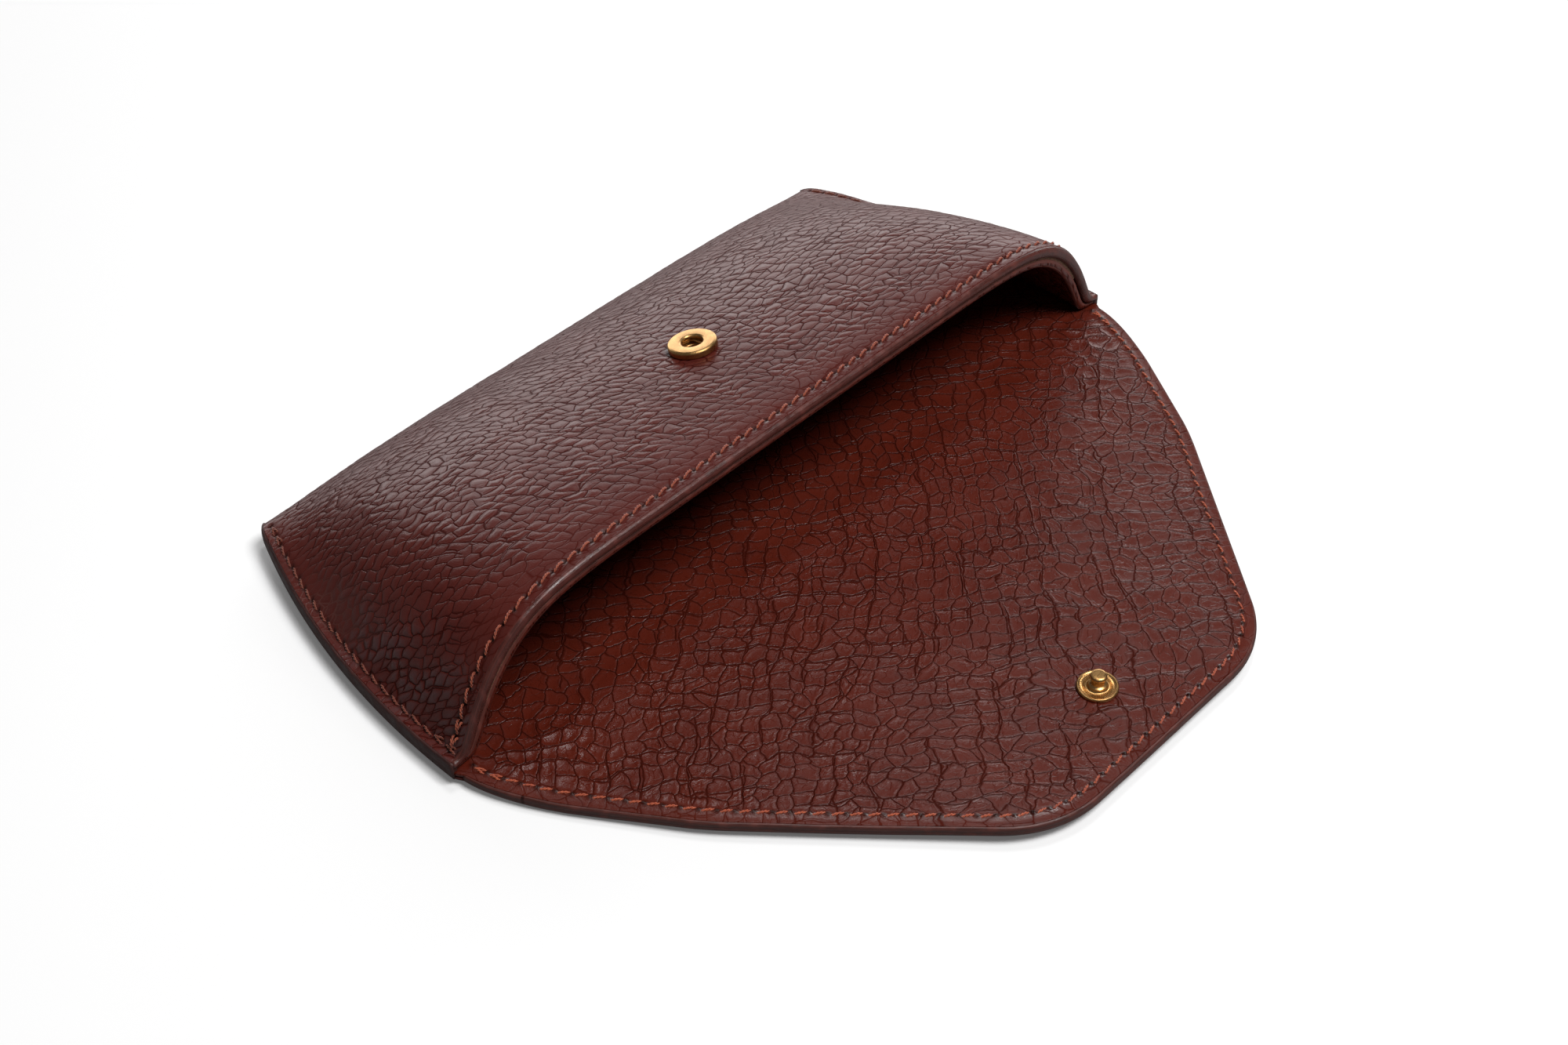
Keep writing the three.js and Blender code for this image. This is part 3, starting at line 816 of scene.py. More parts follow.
def edge_paint(name, base, roughness):
    """Painted leather edge: glossy, with fine lines along it where the layers show through."""
    material, graph, shader = new_material(name, base, roughness)
    track = attribute(graph, "grain")
    lines = graph.noise(graph.scaled(track, 0.12, 5.0), 1.0, 4.0, 0.65)
    patches = graph.noise(track, 0.35, 3.0)
    dark = tuple(0.55 * part for part in base)
    pale = tuple(min(1, 1.5 * part) for part in base)
    tone = graph.blend(graph.spread(lines, 0.35, 0.62), (*dark, 1), (*base, 1))
    tone = graph.blend(graph.spread(patches, 0.5, 0.75, 0.0, 0.6), tone, (*pale, 1))
    graph.feed(shader.inputs["Base Color"], tone)
    graph.feed(shader.inputs["Roughness"], graph.spread(patches, 0.3, 0.7, roughness, roughness + 0.16))
    bump(graph, shader, [(lines, 0.09, 0.8), (patches, 0.15, 0.5)])
    return material


def thread_material(name, painted_shade_dim):
    """Waxed twisted thread with pale, worn fibres. The last argument is below 1 where it lies deep, and
    darkens every tone there as painted shade.
    """
    material, graph, shader = new_material(name, (0.4 * painted_shade_dim, 0.075 * painted_shade_dim, 0.026 * painted_shade_dim), 0.5)
    place = attribute(graph, "grain")
    fibres = graph.noise(graph.scaled(place, 3.0, 14.0), 1.0, 3.0, 0.7)
    shade = graph.noise(place, 0.5, 2.0)
    low, mid, high = ((0.24, 0.03, 0.012), (0.32, 0.045, 0.016), (0.6, 0.13, 0.045))
    low, mid, high = ((*(painted_shade_dim * part for part in tone), 1) for tone in (low, mid, high))
    tone = graph.blend(graph.spread(fibres, 0.35, 0.65), low, high)
    tone = graph.blend(graph.spread(shade, 0.4, 0.7, 0.0, 0.5), tone, mid)
    graph.feed(shader.inputs["Base Color"], tone)
    graph.feed(shader.inputs["Roughness"], graph.spread(fibres, 0.3, 0.7, 0.38, 0.62))
    shader.inputs["Sheen Weight"].default_value = 0.2
    bump(graph, shader, [(fibres, 0.06, 0.8)])
    return material


def brass_material(name, base, roughness):
    """Gold-plated brass with faint scuffs."""
    material, graph, shader = new_material(name, base, roughness, 1.0)
    place = object_place(graph)
    scuffs = graph.noise(graph.scaled(place, 1.0, 6.0, 1.0), 1.6, 5.0, space="3D")
    cloud = graph.noise(place, 0.5, 3.0, space="3D")
    warm = tuple(0.82 * part for part in base)
    tone = graph.blend(graph.spread(cloud, 0.35, 0.65), (*base, 1), (*warm, 1))
    graph.feed(shader.inputs["Base Color"], tone)
    graph.feed(shader.inputs["Roughness"], graph.spread(scuffs, 0.35, 0.7, roughness, roughness + 0.16))
    bump(graph, shader, [(scuffs, 0.002, 0.3)])
    return material


def board_material():
    """Pressed fibre board."""
    material, graph, shader = new_material("board", (0.2, 0.1, 0.06), 0.9)
    specks = graph.noise(object_place(graph), 2.5, 5.0, space="3D")
    tone = graph.blend(graph.spread(specks, 0.35, 0.65), (0.13, 0.06, 0.035, 1), (0.27, 0.15, 0.09, 1))
    graph.feed(shader.inputs["Base Color"], tone)
    graph.feed(shader.inputs["Roughness"], graph.spread(specks, 0.3, 0.7, 0.8, 0.98))
    bump(graph, shader, [(specks, 0.1, 0.8)])
    return material


OUTSIDE = leather(
    "outer_leather",
    outer_grain,
    (0.072, 0.0098, 0.0068),
    (0.084, 0.0135, 0.0098),
    (0.097, 0.017, 0.0125),
    0.31,
    0.28,
    (0.05, 0.045, 0.015),
)
INSIDE = leather(
    "lining_leather",
    lining_grain,
    (0.07, 0.0082, 0.0038),
    (0.09, 0.0108, 0.0047),
    (0.106, 0.0142, 0.0066),
    0.3,
    0.42,
    (0.2, 0.07, 0.05),
)
# Painted light: the mouth's edge paint is about twice as light as the side seams', standing in for light
# that the mouth's edge, facing away from the lamps, does not get. The flap's is as light as the mouth's.
PAINT = edge_paint("edge_paint", (0.1, 0.024, 0.018), 0.24)
SIDE_PAINT = edge_paint("side_paint", (0.055, 0.012, 0.009), 0.5)
FLAP_PAINT = edge_paint("flap_paint", (0.1, 0.024, 0.017), 0.38)
RAW_EDGE = edge_paint("raw_edge", (0.16, 0.038, 0.026), 0.4)
# One thread in three copies that differ only in brightness: the mouth's and the side seams' are darker, as
# painted shade.
THREAD = thread_material("thread", 0.75)
FLAP_THREAD = thread_material("flap_thread", 1.0)
SEAM_THREAD = thread_material("seam_thread", 0.4)
GOLD = brass_material("gold_brass", (0.58, 0.33, 0.125), 0.27)
BOARD_FIBRE = board_material()

# ---- Leather pieces -------------------------------------------------------------------------

def warped(across, along, seed):
    """Grain coordinates in millimetres, bent by slow waves so that no rows line up."""
    u, v = across + seed, along + 0.7 * seed
    bend_u = 2.2 * np.sin(v / 13.0 + 0.4) + 1.6 * np.sin(u / 19.0 + v / 29.0)
    bend_v = 2.4 * np.sin(u / 16.0 + 1.1) + 1.4 * np.sin(v / 21.0 - u / 31.0)
    return np.stack([u + bend_u, v + bend_v, np.zeros_like(u)], axis=-1)


def grained(grid, outward, grain, pattern, relief, calm, holes_list):
    """Raises the grain on a surface and pulls it in under the stitches."""
    normals = grid_normals(grid) * outward
    depth, dark = pull_in(grid, holes_list)
    height = (sample(pattern, grain) - 1) * relief * (1 - calm) - depth
    return grid + normals * height[..., None], {"grain": grain, "calm": calm, "hole": dark}


def mouth_holes():
    """Stitch holes along the mouth, on the bare front."""
    grid, across, along = front_grid(60, 600, 0, 4 * LAYER - GLUE)
    from_seam = 1.4
    half = np.interp(MOUTH_INSET, along[:, 0], across[:, -1]) - from_seam
    wanted = even_path(np.array([[-half, MOUTH_INSET], [half, MOUTH_INSET]]), STITCH)
    return lookup(grid, across, along, wanted)


def seam_holes(side):
    """Stitch holes of a side seam, on the bare front."""
    grid, across, along = front_grid(160, 600, 0, 4 * LAYER - GLUE)
    row = seam_row(side)
    wanted = []
    for x, run in row:
        i = np.argmin(np.abs(grid[:, 0, 1] - MOUTH_Y - run))
        wanted.append((np.interp(x, grid[i, :, 0], across[i]), along[i, 0]))
    return lookup(grid, across, along, np.array(wanted))


def on_sheet(places, depth, off, up):
    """Points on a surface of the sheet, above (x, run) places, with normals up or down."""
    z = sheet_height(places[:, 0], places[:, 1], depth, off)
    points = np.stack([places[:, 0], MOUTH_Y + places[:, 1], z], axis=1)
    return points, np.repeat(np.array([[0, 0, up]], float), len(points), axis=0)


mouth_points, mouth_normals = mouth_holes()
seam_points = {side: seam_holes(side) for side in (-1, 1)}
flap_places = flap_row()
flap_top = on_sheet(flap_places, FLAP_THICK, LAYER + SKIVED, 1)
flap_under = on_sheet(flap_places, 0, 0, -1)
seam_under = {side: on_sheet(seam_row(side), 0, 0, -1) for side in (-1, 1)}


def front_leather():
    """The outside leather over the dome, from the mouth to the middle of the bottom fold."""
    rows, cols = 178, 432
    face, across, along = front_grid(rows, cols, 0, 4 * LAYER - GLUE)
    back, _, _ = front_grid(rows, cols, OUTER, 3 * LAYER)
    face[0, :, 1] += EDGE_SET
    back[0, :, 1] += EDGE_SET
    flat = MOUTH_HALF - WALL
    stretched = np.sign(across) * (np.minimum(np.abs(across), flat) + 1.15 * excess(across, flat))
    grain = warped(stretched, along, 3.0)
    edge = np.minimum(along, across.max(1, keepdims=True) - np.abs(across))
    calm = np.maximum(0.6 * (1 - smooth(edge, 3, 7)), 0.75 * (1 - smooth(along, 3, 13)))
    wall = smooth(np.abs(across), flat - 2, flat + WALL)
    calm = calm * (1 - 0.6 * wall)
    holes = [mouth_points, seam_points[-1][0], seam_points[1][0]]
    face, attributes = grained(face, 1, grain, outer_grain, RELIEF_OUTER, calm, holes)
    # Where the wall's creases stand up with painted pale highlights.
    attributes["ridge"] = 0.8 * wall * smooth(along, 22, 52)
    # Where the wall's plates get the painted grey sheen.
    attributes["painted_sheen_zone"] = 0.9 * wall * (1 - smooth(along, 26, 56))
    piece = layer_piece("front_leather", face, back, OUTSIDE, (6, 12), attributes)
    punch(piece, HOLE_UNDER_RING)
    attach(piece, "pocket")
    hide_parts("pocket_outer")


def punch(piece, radius):
    """Cuts the round hole that the snap's rivet comes up through."""
    around = np.linspace(0, 2 * np.pi, 49)[:-1]
    circle = np.stack([np.cos(around) * radius, np.sin(around) * radius, 0 * around], axis=1)
    ends = np.array([circle + (0, 0, -2), circle + (0, 0, 3)])
    points, faces = tube_grid(ends)
    cutter = mesh_object("punch", placed(points, snap_origin, -SNAP_SLOPE), faces, OUTSIDE)
    cut = piece.modifiers.new("hole", "BOOLEAN")
    cut.object = cutter
    cut.operation = "DIFFERENCE"
    cut.solver = "EXACT"
    bake_modifiers(piece)
    bpy.data.objects.remove(cutter)


def front_lining():
    """The lining leather under the dome. Its raw edge shows at the mouth."""
    rows, cols = 70, 240
    face, across, along = front_grid(rows, cols, LINING_DEPTH + LINING, 2 * LAYER)
    back, _, _ = front_grid(rows, cols, LINING_DEPTH, 3 * LAYER - GLUE)
    grain = warped(across, along, 141.0)
    calm = 0.3 * (1 - smooth(along, 1, 5))
    face, attributes = grained(face, -1, grain, lining_grain, RELIEF_LINING, calm, [])
    piece = layer_piece("front_lining", face, back, INSIDE, (6, 12), attributes, flip=True)
    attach(piece, "pocket")
    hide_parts("pocket_lining")


def split_runs(start, end, step):
    """Even distances from start to end, about a step apart."""
    return np.linspace(start, end, max(2, int(round(abs(end - start) / step)) + 1))


def tip_runs(start, inset):
    """Rows from start to the tip, closing up where the outline turns round its corners."""
    path = flap_outline(inset)
    turn_start, tip_half = -78.0, 19.6
    turn = path[(path[:, 1] < turn_start) & (path[:, 0] > tip_half)][:, 1]
    runs = np.concatenate([split_runs(start, turn_start, 0.52), turn, [-REACH + inset]])
    return np.unique(runs)[::-1]


def sheet_pieces(name, rows, cols, step, shown, hidden, outward, finish, holes):
    """One leather layer of the back and flap, in two pieces that meet on the rise.

    rows are the runs of each piece. shown and hidden are the (depth, height in the seam) of the
    layer's two faces. finish is (pattern, relief, material, slot); its slot is not used.
    """
    pattern, relief, material, slot = finish
    seed = 317.0 if outward > 0 else 571.0
    pieces = []
    for part, runs in zip("ab", rows):
        face, across, along = sheet_grid(runs, cols, *shown)
        back, _, _ = sheet_grid(runs, cols, *hidden)
        grain = warped(across, along, seed)
        edge = base_half(along, 0) - np.abs(across)
        edge = np.minimum(edge * 0.8, along + REACH)
        calm = 0.85 * (1 - smooth(edge, 2.0, 4.6))
        # the lining is creased deeper by the corners of the mouth
        creased = np.exp(-(((np.abs(across) - 79) / 15) ** 2) - ((along + 6) / 10) ** 2)
        deep = relief * (1 + (0.9 * creased if outward > 0 else 0))
        face, attributes = grained(face, outward, grain, pattern, deep, calm, holes)
        layer = layer_piece(f"{name}_{part}", face, back, material, step, attributes, flip=outward > 0)
        pieces.append(layer)
    bend_at_base(pieces[0])
    bend_at_top(pieces[1])
    return pieces


def bend_at_base(piece):
    """Bakes the transform of a piece that runs from the pocket to the rise into its mesh."""
    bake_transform(piece)


def bend_at_top(piece):
    """Bakes the transform of a piece that runs from the rise to the tongue into its mesh."""
    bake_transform(piece)


def lining_sheet():
    """The lining from the bottom fold to the tip. Its rows are wider apart deep in the pocket."""
    split = SHEET_SPLIT - MOUTH_Y
    deep = split_runs(DEPTH - FLAP_THICK, 30, 1.6)
    near = split_runs(30, split, 0.52)[1:]
    rows = (np.concatenate([deep, near]), tip_runs(split, EDGE_SET))
    shown = (FLAP_THICK, LAYER + SKIVED)
    hidden = (OUTER + GLUE, LAYER)
    finish = (lining_grain, RELIEF_LINING, INSIDE, "lining_leather")
    pieces = sheet_pieces("lining", rows, 366, (8, 61), shown, hidden, 1, finish, [flap_top[0]])
    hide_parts("rise_lining")
    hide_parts("tongue_lining")


def outer_sheet():
    """The outside leather from the bottom fold to the tip."""
    split = SHEET_SPLIT - MOUTH_Y
    rows = (split_runs(DEPTH, split, 0.8), tip_runs(split, EDGE_SET))
    finish = (outer_grain, RELIEF_OUTER, OUTSIDE, "outer_leather")
    holes = [flap_under[0], seam_under[-1][0], seam_under[1][0]]
    pieces = sheet_pieces("back_leather", rows, 240, (8, 60), (0, 0), (OUTER, SKIVED), -1, finish, holes)
    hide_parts("rise_outer")
    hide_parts("tongue_outer")


# ---- Painted edges --------------------------------------------------------------------------


def edge_band(name, top, bottom, outward, material, bulge=0.3, groove=0.0):
    """A painted edge along two lines of points, bowed outwards, with a groove along its middle."""
    inset = 0.7
    share = np.linspace(0, 1, 11)
    bow = np.sin(np.pi * share) ** 0.55 * bulge + EDGE_SET
    bow = bow - groove * np.exp(-(((share - 0.52) / 0.07) ** 2))
    bow[0] = bow[-1] = EDGE_SET * 0.55
    span = bottom - top
    outer = top[:, None] + span[:, None] * share[None, :, None] + outward[:, None] * bow[None, :, None]
    back_share = share[::-1][2:-2]
    inner = top[:, None] + span[:, None] * back_share[None, :, None] - outward[:, None] * inset
    sections = np.concatenate([outer, inner], axis=1)
    points, faces = tube_grid(sections)
    arc = np.concatenate([[0], np.cumsum(np.linalg.norm(np.diff(top, axis=0), axis=1))])
    sides = sections.shape[1]
    across = np.concatenate([share, back_share]) * np.linalg.norm(span, axis=1).mean()
    track = np.zeros((len(top), sides, 3))
    track[..., 0] = arc[:, None]
    track[..., 1] = across[None, :]
    check = np.cross(top[1] - top[0], span[0])
    if np.dot(check, outward[0]) > 0:
        faces = [tuple(reversed(face)) for face in faces]
    return mesh_object(name, points, faces, material, {"grain": track.reshape(-1, 3)})


def mouth_edges():
    """The edges over the arch of the mouth: the outside leather with its board, and the lining.

    Each band lies between two surfaces, given as (depth, height in the seam). The lining's is
    paler and stands a little further back.
    """
    lap, cover = 0.12, 0.45  # the paint reaches this far onto the leather, and over the board
    outside = (lap, 4 * LAYER - GLUE)
    board_under = (LINING_DEPTH - GLUE - cover, 3 * LAYER - GLUE)
    lining_over = (LINING_DEPTH - cover, 3 * LAYER - GLUE)
    inside = (LINING_DEPTH + LINING + lap, 2 * LAYER)
    bands = (
        ("mouth_edge", outside, board_under, 0.0, PAINT, 0.7, "outer_leather"),
        ("mouth_lining_edge", lining_over, inside, 0.15, RAW_EDGE, 0.35, "lining_leather"),
    )
    cols = 520
    outward = np.repeat(np.array([[0, -1.0, 0]]), cols, axis=0)
    for name, upper, lower, back, material, bulge, slot in bands:
        set_back = np.array([0, EDGE_SET + back, 0])
        top = front_grid(3, cols, *upper)[0][0] + set_back
        bottom = front_grid(3, cols, *lower)[0][0] + set_back
        piece = edge_band(name, top, bottom, outward, material, bulge)
        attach(piece, "pocket")


def seam_edges():
    """The painted edges of the side seams, over all four layers."""
    for side, name in ((-1, "left"), (1, "right")):
        run = split_runs(-0.3, DEPTH - 0.6, 0.6)
        x = side * (half_width(run) - EDGE_SET)
        y = MOUTH_Y + run
        high = seam_height(run, 0, 4 * LAYER - GLUE) + 0.25
        low = seam_height(run, 0, 0) + 0.1
        top = np.stack([x, y, high], axis=1)
        bottom = np.stack([x, y, low], axis=1)
        ahead = unit(np.gradient(np.stack([x, y], axis=1), axis=0))
        outward = np.stack([ahead[:, 1] * side, -ahead[:, 0] * side, np.zeros(len(run))], axis=1)
        piece = edge_band(f"seam_edge_{name}", top, bottom, outward, SIDE_PAINT, bulge=0.35, groove=0.1)
        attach(piece, "pocket")


def flap_edges():
    """The painted edge round the flap: two stretches on the rise, and one round the tongue."""
    right = flap_outline(EDGE_SET)
    full = np.concatenate([right * np.array([-1, 1]), right[::-1][1:]])
    full = even_path(full, 0.6)
    split = SHEET_SPLIT - MOUTH_Y
    left_rise = full[(full[:, 0] < 0) & (full[:, 1] > split - 0.6)]
    right_rise = full[(full[:, 0] > 0) & (full[:, 1] > split - 0.6)]
    tongue = full[full[:, 1] < split + 0.6]
    bands = (
        ("rise_edge_left", left_rise, bend_at_base),
        ("rise_edge_right", right_rise, bend_at_base),
        ("tongue_edge", tongue, bend_at_top),
    )
    lap = 0.12
    for name, path, bend in bands:
        x, run = path[:, 0], path[:, 1]
        high = sheet_height(x, run, FLAP_THICK, LAYER + SKIVED) - lap
        low = sheet_height(x, run, 0, 0) + lap
        top = np.stack([x, MOUTH_Y + run, high], axis=1)
        bottom = np.stack([x, MOUTH_Y + run, low], axis=1)
        ahead = unit(np.gradient(path, axis=0))
        outward = np.stack([ahead[:, 1], -ahead[:, 0], np.zeros(len(path))], axis=1)
        if outward[0, 0] * x[0] < 0:
            outward = -outward
        piece = edge_band(name, top, bottom, outward, FLAP_PAINT, groove=0.12)
        bend(piece)


# ---- Stitches -------------------------------------------------------------------------------


def thread_piece(name, parts, material):
    """A row of stitches as one piece."""
    points, faces = merge_parts(parts)
    spread = np.stack([points[:, 0] + points[:, 1], points[:, 2] * 3, points[:, 0] * 0], axis=1)
    piece = mesh_object(name, points, faces, material, {"grain": spread})
    return piece


def pocket_stitches():
    """The rows at the mouth and the side seams, with back-tacks at their ends."""
    back_tacks = (0, 1, -1, -2)
    points = mouth_points - mouth_normals * 0.15
    parts = stitch_row(points, mouth_normals, 0.3, back_tacks)
    piece = thread_piece("mouth_stitches", parts, THREAD)
    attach(piece, "pocket")
    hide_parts("mouth_thread")
    for side, name in ((-1, "left"), (1, "right")):
        points, normals = seam_points[side]
        parts = stitch_row(points - normals * 0.36, normals, SLANT * side, back_tacks)
        points, normals = seam_under[side]
        parts += stitch_row(points - normals * 0.2, normals, SLANT * side)
        piece = thread_piece(f"seam_stitches_{name}", parts, SEAM_THREAD)
        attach(piece, "pocket")
        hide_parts(f"seam_thread_{name}")


def flap_stitches():
    """The flap's row, on both faces, divided on the rise as the sheet is."""
    groups = {"rise": [], "tongue": []}
    for (points, normals), sunk in ((flap_top, 0.05), (flap_under, 0.2)):
        points = points - normals * sunk
        for i in range(len(points) - 1):
            middle = (points[i, 1] + points[i + 1, 1]) / 2
            key = "rise" if middle > SHEET_SPLIT else "tongue"
            doubled = (0,) if i in (0, 1, len(points) - 3, len(points) - 2) else ()
            groups[key] += stitch_row(points[i : i + 2], normals[i : i + 2], SLANT, doubled)
    rise = thread_piece("rise_stitches", groups["rise"], FLAP_THREAD)
    tongue = thread_piece("tongue_stitches", groups["tongue"], FLAP_THREAD)
    bend_at_base(rise)
    bend_at_top(tongue)
    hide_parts("rise_thread_left", "rise_thread_right")
    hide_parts("tongue_thread")


# ---- Snap -----------------------------------------------------------------------------------


def lathe(profile, segments, shape=None):
    """Turns a closed profile of (radius, height) about Z. shape(angle, radius, height) may move it."""
    profile = np.array(profile, float)
    angles = np.linspace(0, 2 * np.pi, segments, endpoint=False)
    radius = np.repeat(profile[None, :, 0], segments, axis=0)
    height = np.repeat(profile[None, :, 1], segments, axis=0)
    if shape is not None:
        height = height + shape(angles[:, None], radius)
    x = radius * np.cos(angles)[:, None]
    y = radius * np.sin(angles)[:, None]
    points = np.stack([x, y, height], axis=-1).reshape(-1, 3)
    count = len(profile)
    faces = []
    for i in range(segments):
        j = (i + 1) % segments
        for k in range(count):
            m = (k + 1) % count
            if profile[k, 0] == 0 and profile[m, 0] == 0:
                continue
            faces.append((i * count + k, j * count + k, j * count + m, i * count + m))
    return points, faces


def rounded(profile, radius=0.07):
    """Cuts each corner of a closed profile with a small round. Points on the axis stay."""
    result = []
    count = len(profile)
    for i in range(count):
        before, here, after = (np.array(profile[(i + k) % count], float) for k in (-1, 0, 1))
        if here[0] == 0:
            result.append(tuple(here))
            continue
        back, ahead = before - here, after - here
        cut = min(radius, np.linalg.norm(back) * 0.4, np.linalg.norm(ahead) * 0.4)
        p = here + unit(back) * cut
        q = here + unit(ahead) * cut
        middle = 0.25 * p + 0.5 * here + 0.25 * q
        result += [tuple(p), tuple(middle), tuple(q)]
    return result


def placed(points, origin, turn):
    """Points turned about X and moved to origin."""
    c, s = math.cos(turn), math.sin(turn)
    matrix = np.array([[1, 0, 0], [0, c, -s], [0, s, c]])
    return points @ matrix.T + origin


def metal_piece(name, points, faces, body, node):
    """A turned metal piece, with the points on its axis joined."""
    piece = mesh_object(name, points, faces, GOLD)
    piece.data.validate()
    weld = piece.modifiers.new("weld", "WELD")
    weld.merge_threshold = 0.002 * MM
    bake_modifiers(piece)
    piece.data.set_sharp_from_angle(angle=math.radians(50))
    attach(piece, body)
    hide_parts(*node)
    return piece


def bake_modifiers(piece):
    """Applies a piece's modifiers to its mesh."""
    depsgraph = bpy.context.evaluated_depsgraph_get()
    mesh = bpy.data.meshes.new_from_object(piece.evaluated_get(depsgraph))
    piece.modifiers.clear()
    piece.data = mesh


SEAT = OUTER - 0.3  # the ring's origin is this far under the leather's face
RING_TOP = 2.4
HOLE_UNDER_RING = 3.7
WIRE_HEIGHT = 1.22
WIRE_PLACE = 1.6
WIRE_HALF = 2.4
WIRE_R = 0.22
snap_height = float(crown(np.array(SNAP_RUN), 0))
snap_origin = np.array(
    [0, MOUTH_Y + SNAP_RUN - SEAT * math.sin(SNAP_SLOPE), snap_height - SEAT * math.cos(SNAP_SLOPE)]
)
stud_low, stud_high = cad_box("snap_stud")
cap_low, cap_high = cad_box("stud_cap")


def socket():
    """The ring on the front, the rivet that holds it and its two spring wires."""
    ring = rounded(
        [
            (2.15, 2.0), (2.25, 2.24), (2.6, RING_TOP), (4.5, RING_TOP), (4.82, 2.28), (5.0, 2.0),
            (5.0, 1.15), (4.85, 0.85), (4.45, 0.7), (4.4, 0.4), (4.3, 0.1), (2.5, 0.1), (2.5, 0.3),
            (3.1, 0.3), (3.1, 0.65), (3.2, 0.8), (3.2, 1.65), (2.15, 1.65),
        ]
    )
    points, faces = lathe(ring[::-1], 96)
    metal_piece("snap_socket", placed(points, snap_origin, -SNAP_SLOPE), faces, "pocket", ["socket_ring"])
    head = SEAT - LINING_DEPTH - LINING - 0.15
    rivet = rounded(
        [
            (0, head - 0.72), (3.4, head - 0.7), (4.3, head - 0.55), (4.6, head - 0.3), (4.5, head - 0.02),
            (2.3, head), (2.3, 0.35), (2.9, 0.35), (2.88, 0.48), (2.25, 0.55), (1.85, 0.4),
            (1.85, head - 0.1), (0, head - 0.1),
        ]
    )
    points, faces = lathe(rivet, 72)
    metal_piece("snap_rivet", placed(points, snap_origin, -SNAP_SLOPE), faces, "pocket", ["socket_rivet"])
    for side, name in ((-1, "left"), (1, "right")):
        along = np.linspace(-WIRE_HALF, WIRE_HALF, 25)
        around = np.linspace(0, 2 * np.pi, 13)[:-1]
        sections = np.zeros((len(along), len(around), 3))
        sections[..., 0] = side * WIRE_PLACE + np.cos(around) * WIRE_R
        sections[..., 1] = along[:, None]
        sections[..., 2] = WIRE_HEIGHT + np.sin(around) * WIRE_R
        points, faces = tube_grid(sections)
        faces = [tuple(reversed(face)) for face in faces]
        points = placed(points, snap_origin, -SNAP_SLOPE)
        metal_piece(f"snap_spring_{name}", points, faces, "pocket", [f"socket_spring_{name}"])


def knurl(angles, radius):
    """Fine radial ridges on the stud's plate."""
    band = smooth(radius, 2.05, 2.3) * (1 - smooth(radius, 3.15, 3.35))
    return band * 0.07 * np.sign(np.sin(56 * angles)) * np.abs(np.sin(56 * angles)) ** 0.5


def stud():
    """The stud on the lining and its cap on the flap's outside."""
    distance = BASE_FOLD[1] - (stud_low[1] + stud_high[1]) / 2
    across = distance / math.cos(TILT)
    origin = np.array(
        [0, BASE_FOLD[1] - across * math.cos(TILT), FLAP_THICK + across * math.sin(TILT)]
    )
    plate = 0.85
    tip = plate + 2.8
    profile = [
        (0, 0.05), (3.5, 0.05), (3.85, 0.22), (3.9, 0.45), (3.9, 0.65), (3.72, plate), (3.5, plate),
        (3.3, 0.72), (3.1, 0.62), (2.8, 0.6), (2.5, 0.6), (2.25, 0.62), (2.0, 0.68), (1.82, 0.9),
        (1.75, 1.2), (1.45, 1.35), (1.22, 1.5), (1.18, tip - 1.2), (1.35, tip - 0.95), (1.58, tip - 0.75),
        (1.6, tip - 0.45), (1.45, tip - 0.12), (1.1, tip), (0, tip + 0.04),
    ]
    points, faces = lathe(rounded(profile, 0.05), 336, knurl)
    metal_piece("stud", placed(points, origin, -TILT), faces, "tongue", ["snap_stud"])
    under = -FLAP_THICK
    cap = rounded(
        [
            (0, under - 1.1), (2.2, under - 1.08), (3.6, under - 0.98), (4.5, under - 0.8),
            (4.95, under - 0.5), (4.95, under - 0.2), (4.7, under - 0.05), (0.85, under - 0.05),
            (0.85, 0.3), (0, 0.3),
        ]
    )
    points, faces = lathe(cap, 96)
    metal_piece("snap_cap", placed(points, origin, -TILT), faces, "tongue", ["stud_cap"])


# ---- Put together ---------------------------------------------------------------------------

front_leather()
front_lining()
lining_sheet()
outer_sheet()
mouth_edges()
seam_edges()
flap_edges()
pocket_stitches()
flap_stitches()
socket()
stud()
board = frame["nodes"]["front_stiffener"]
board.data.materials.clear()
board.data.materials.append(BOARD_FIBRE)

# ---- Stage ----------------------------------------------------------------------------------


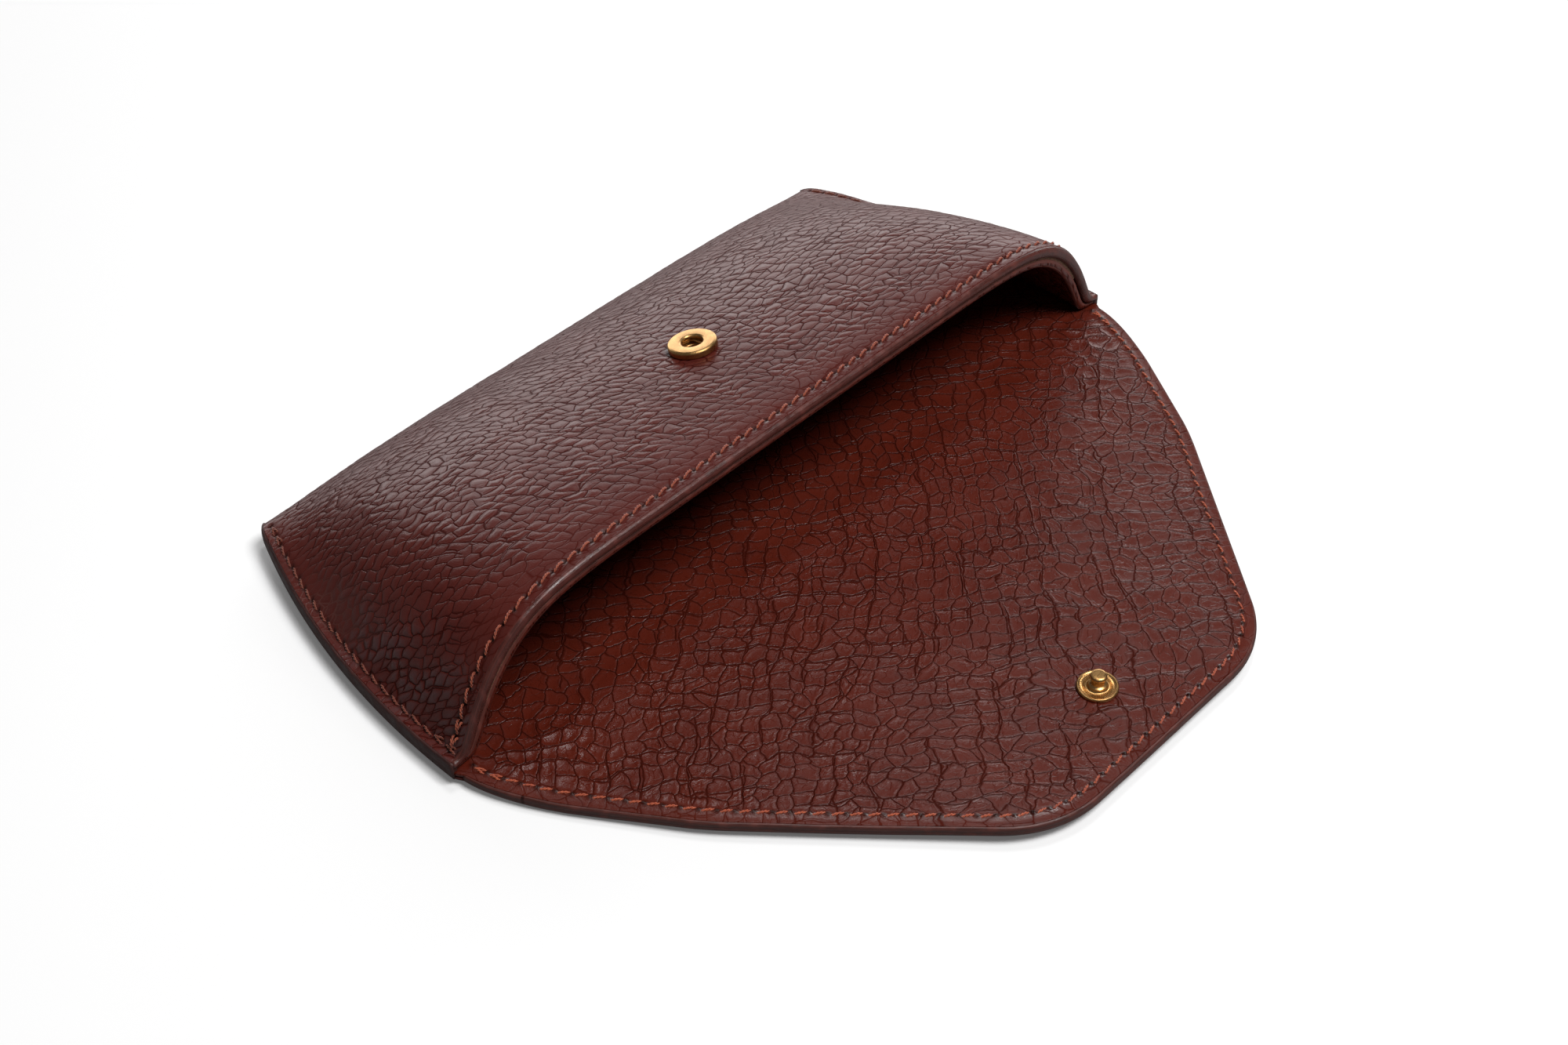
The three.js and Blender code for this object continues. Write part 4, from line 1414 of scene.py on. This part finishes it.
def stage():
    """A pale floor. It is a softer grey to everything but the camera, so it lights sides less."""
    size = 3.0
    floor = bpy.data.meshes.new("floor")
    corners = [(-size, -size, 0), (size, -size, 0), (size, size, 0), (-size, size, 0)]
    floor.from_pydata(corners, [], [(0, 1, 2, 3)])
    made = bpy.data.objects.new("floor", floor)
    made.location.z = -0.0002
    bpy.context.collection.objects.link(made)
    material, graph, shader = new_material("floor", (0.9, 0.9, 0.9), 0.6)
    seen = graph.node("ShaderNodeLightPath").outputs["Is Camera Ray"]
    tone = graph.blend(seen, (0.3, 0.3, 0.3, 1), (0.92, 0.92, 0.92, 1))
    graph.feed(shader.inputs["Base Color"], tone)
    shader.inputs["Emission Color"].default_value = (1, 1, 1, 1)
    place = graph.node("ShaderNodeTexCoord").outputs["Object"]
    far = graph.node("ShaderNodeVectorMath", {0: place}, operation="LENGTH").outputs["Value"]
    glow = graph.spread(far, 0.5, 2.0, 0.1, 1.0)
    graph.feed(shader.inputs["Emission Strength"], graph.math("MULTIPLY", seen, glow))
    floor.materials.append(material)


def area_light(name, place, target, size, power):
    data = bpy.data.lights.new(name, "AREA")
    data.shape = "RECTANGLE"
    data.size, data.size_y = size
    data.energy = power
    light = bpy.data.objects.new(name, data)
    bpy.context.collection.objects.link(light)
    light.location = place
    light.rotation_euler = facing(place, target)


def facing(place, target):
    """The turn that points a light or camera at its target."""
    return (Vector(target) - Vector(place)).to_track_quat("-Z", "Y").to_euler()


def lights():
    """A dim room, a soft light overhead, a weak one behind it and a low one from the back."""
    world = bpy.data.worlds.new("studio")
    bpy.context.scene.world = world
    world.use_nodes = True
    graph = Graph(world.node_tree)
    backdrop = world.node_tree.nodes["Background"]
    backdrop.inputs["Color"].default_value = (1, 1, 1, 1)
    seen = graph.node("ShaderNodeLightPath").outputs["Is Camera Ray"]
    graph.feed(backdrop.inputs["Strength"], graph.spread(seen, 0.0, 1.0, 0.1, 1.0))
    area_light("overhead", (0.12, -0.4, 0.96), (0, 0, 0), (0.45, 0.45), 9.6)
    area_light("glint", (0.3, 0.2, 0.98), (0, 0, 0), (0.2, 0.2), 1.5)
    area_light("sweep", (0.78, 0.88, 0.27), (0, 0, 0.04), (1.8, 0.46), 9.0)


def camera():
    """The photograph's viewpoint, fitted to the case's outline."""
    azimuth, elevation, distance = math.radians(-46.98), math.radians(42.91), 0.455
    target = np.array([-3.6, MOUTH_Y + 3.3, 0]) * MM
    away = np.array(
        [
            math.sin(azimuth) * math.cos(elevation),
            -math.cos(azimuth) * math.cos(elevation),
            math.sin(elevation),
        ]
    )
    data = bpy.data.cameras.new("camera")
    data.lens = 53.0
    data.sensor_width = 36.0
    data.clip_start = 0.01
    made = bpy.data.objects.new("camera", data)
    bpy.context.collection.objects.link(made)
    place = target + away * distance
    made.location = place
    made.rotation_euler = facing(place, target)
    bpy.context.scene.camera = made


stage()
lights()
camera()
bpy.context.scene.view_settings.view_transform = "Standard"
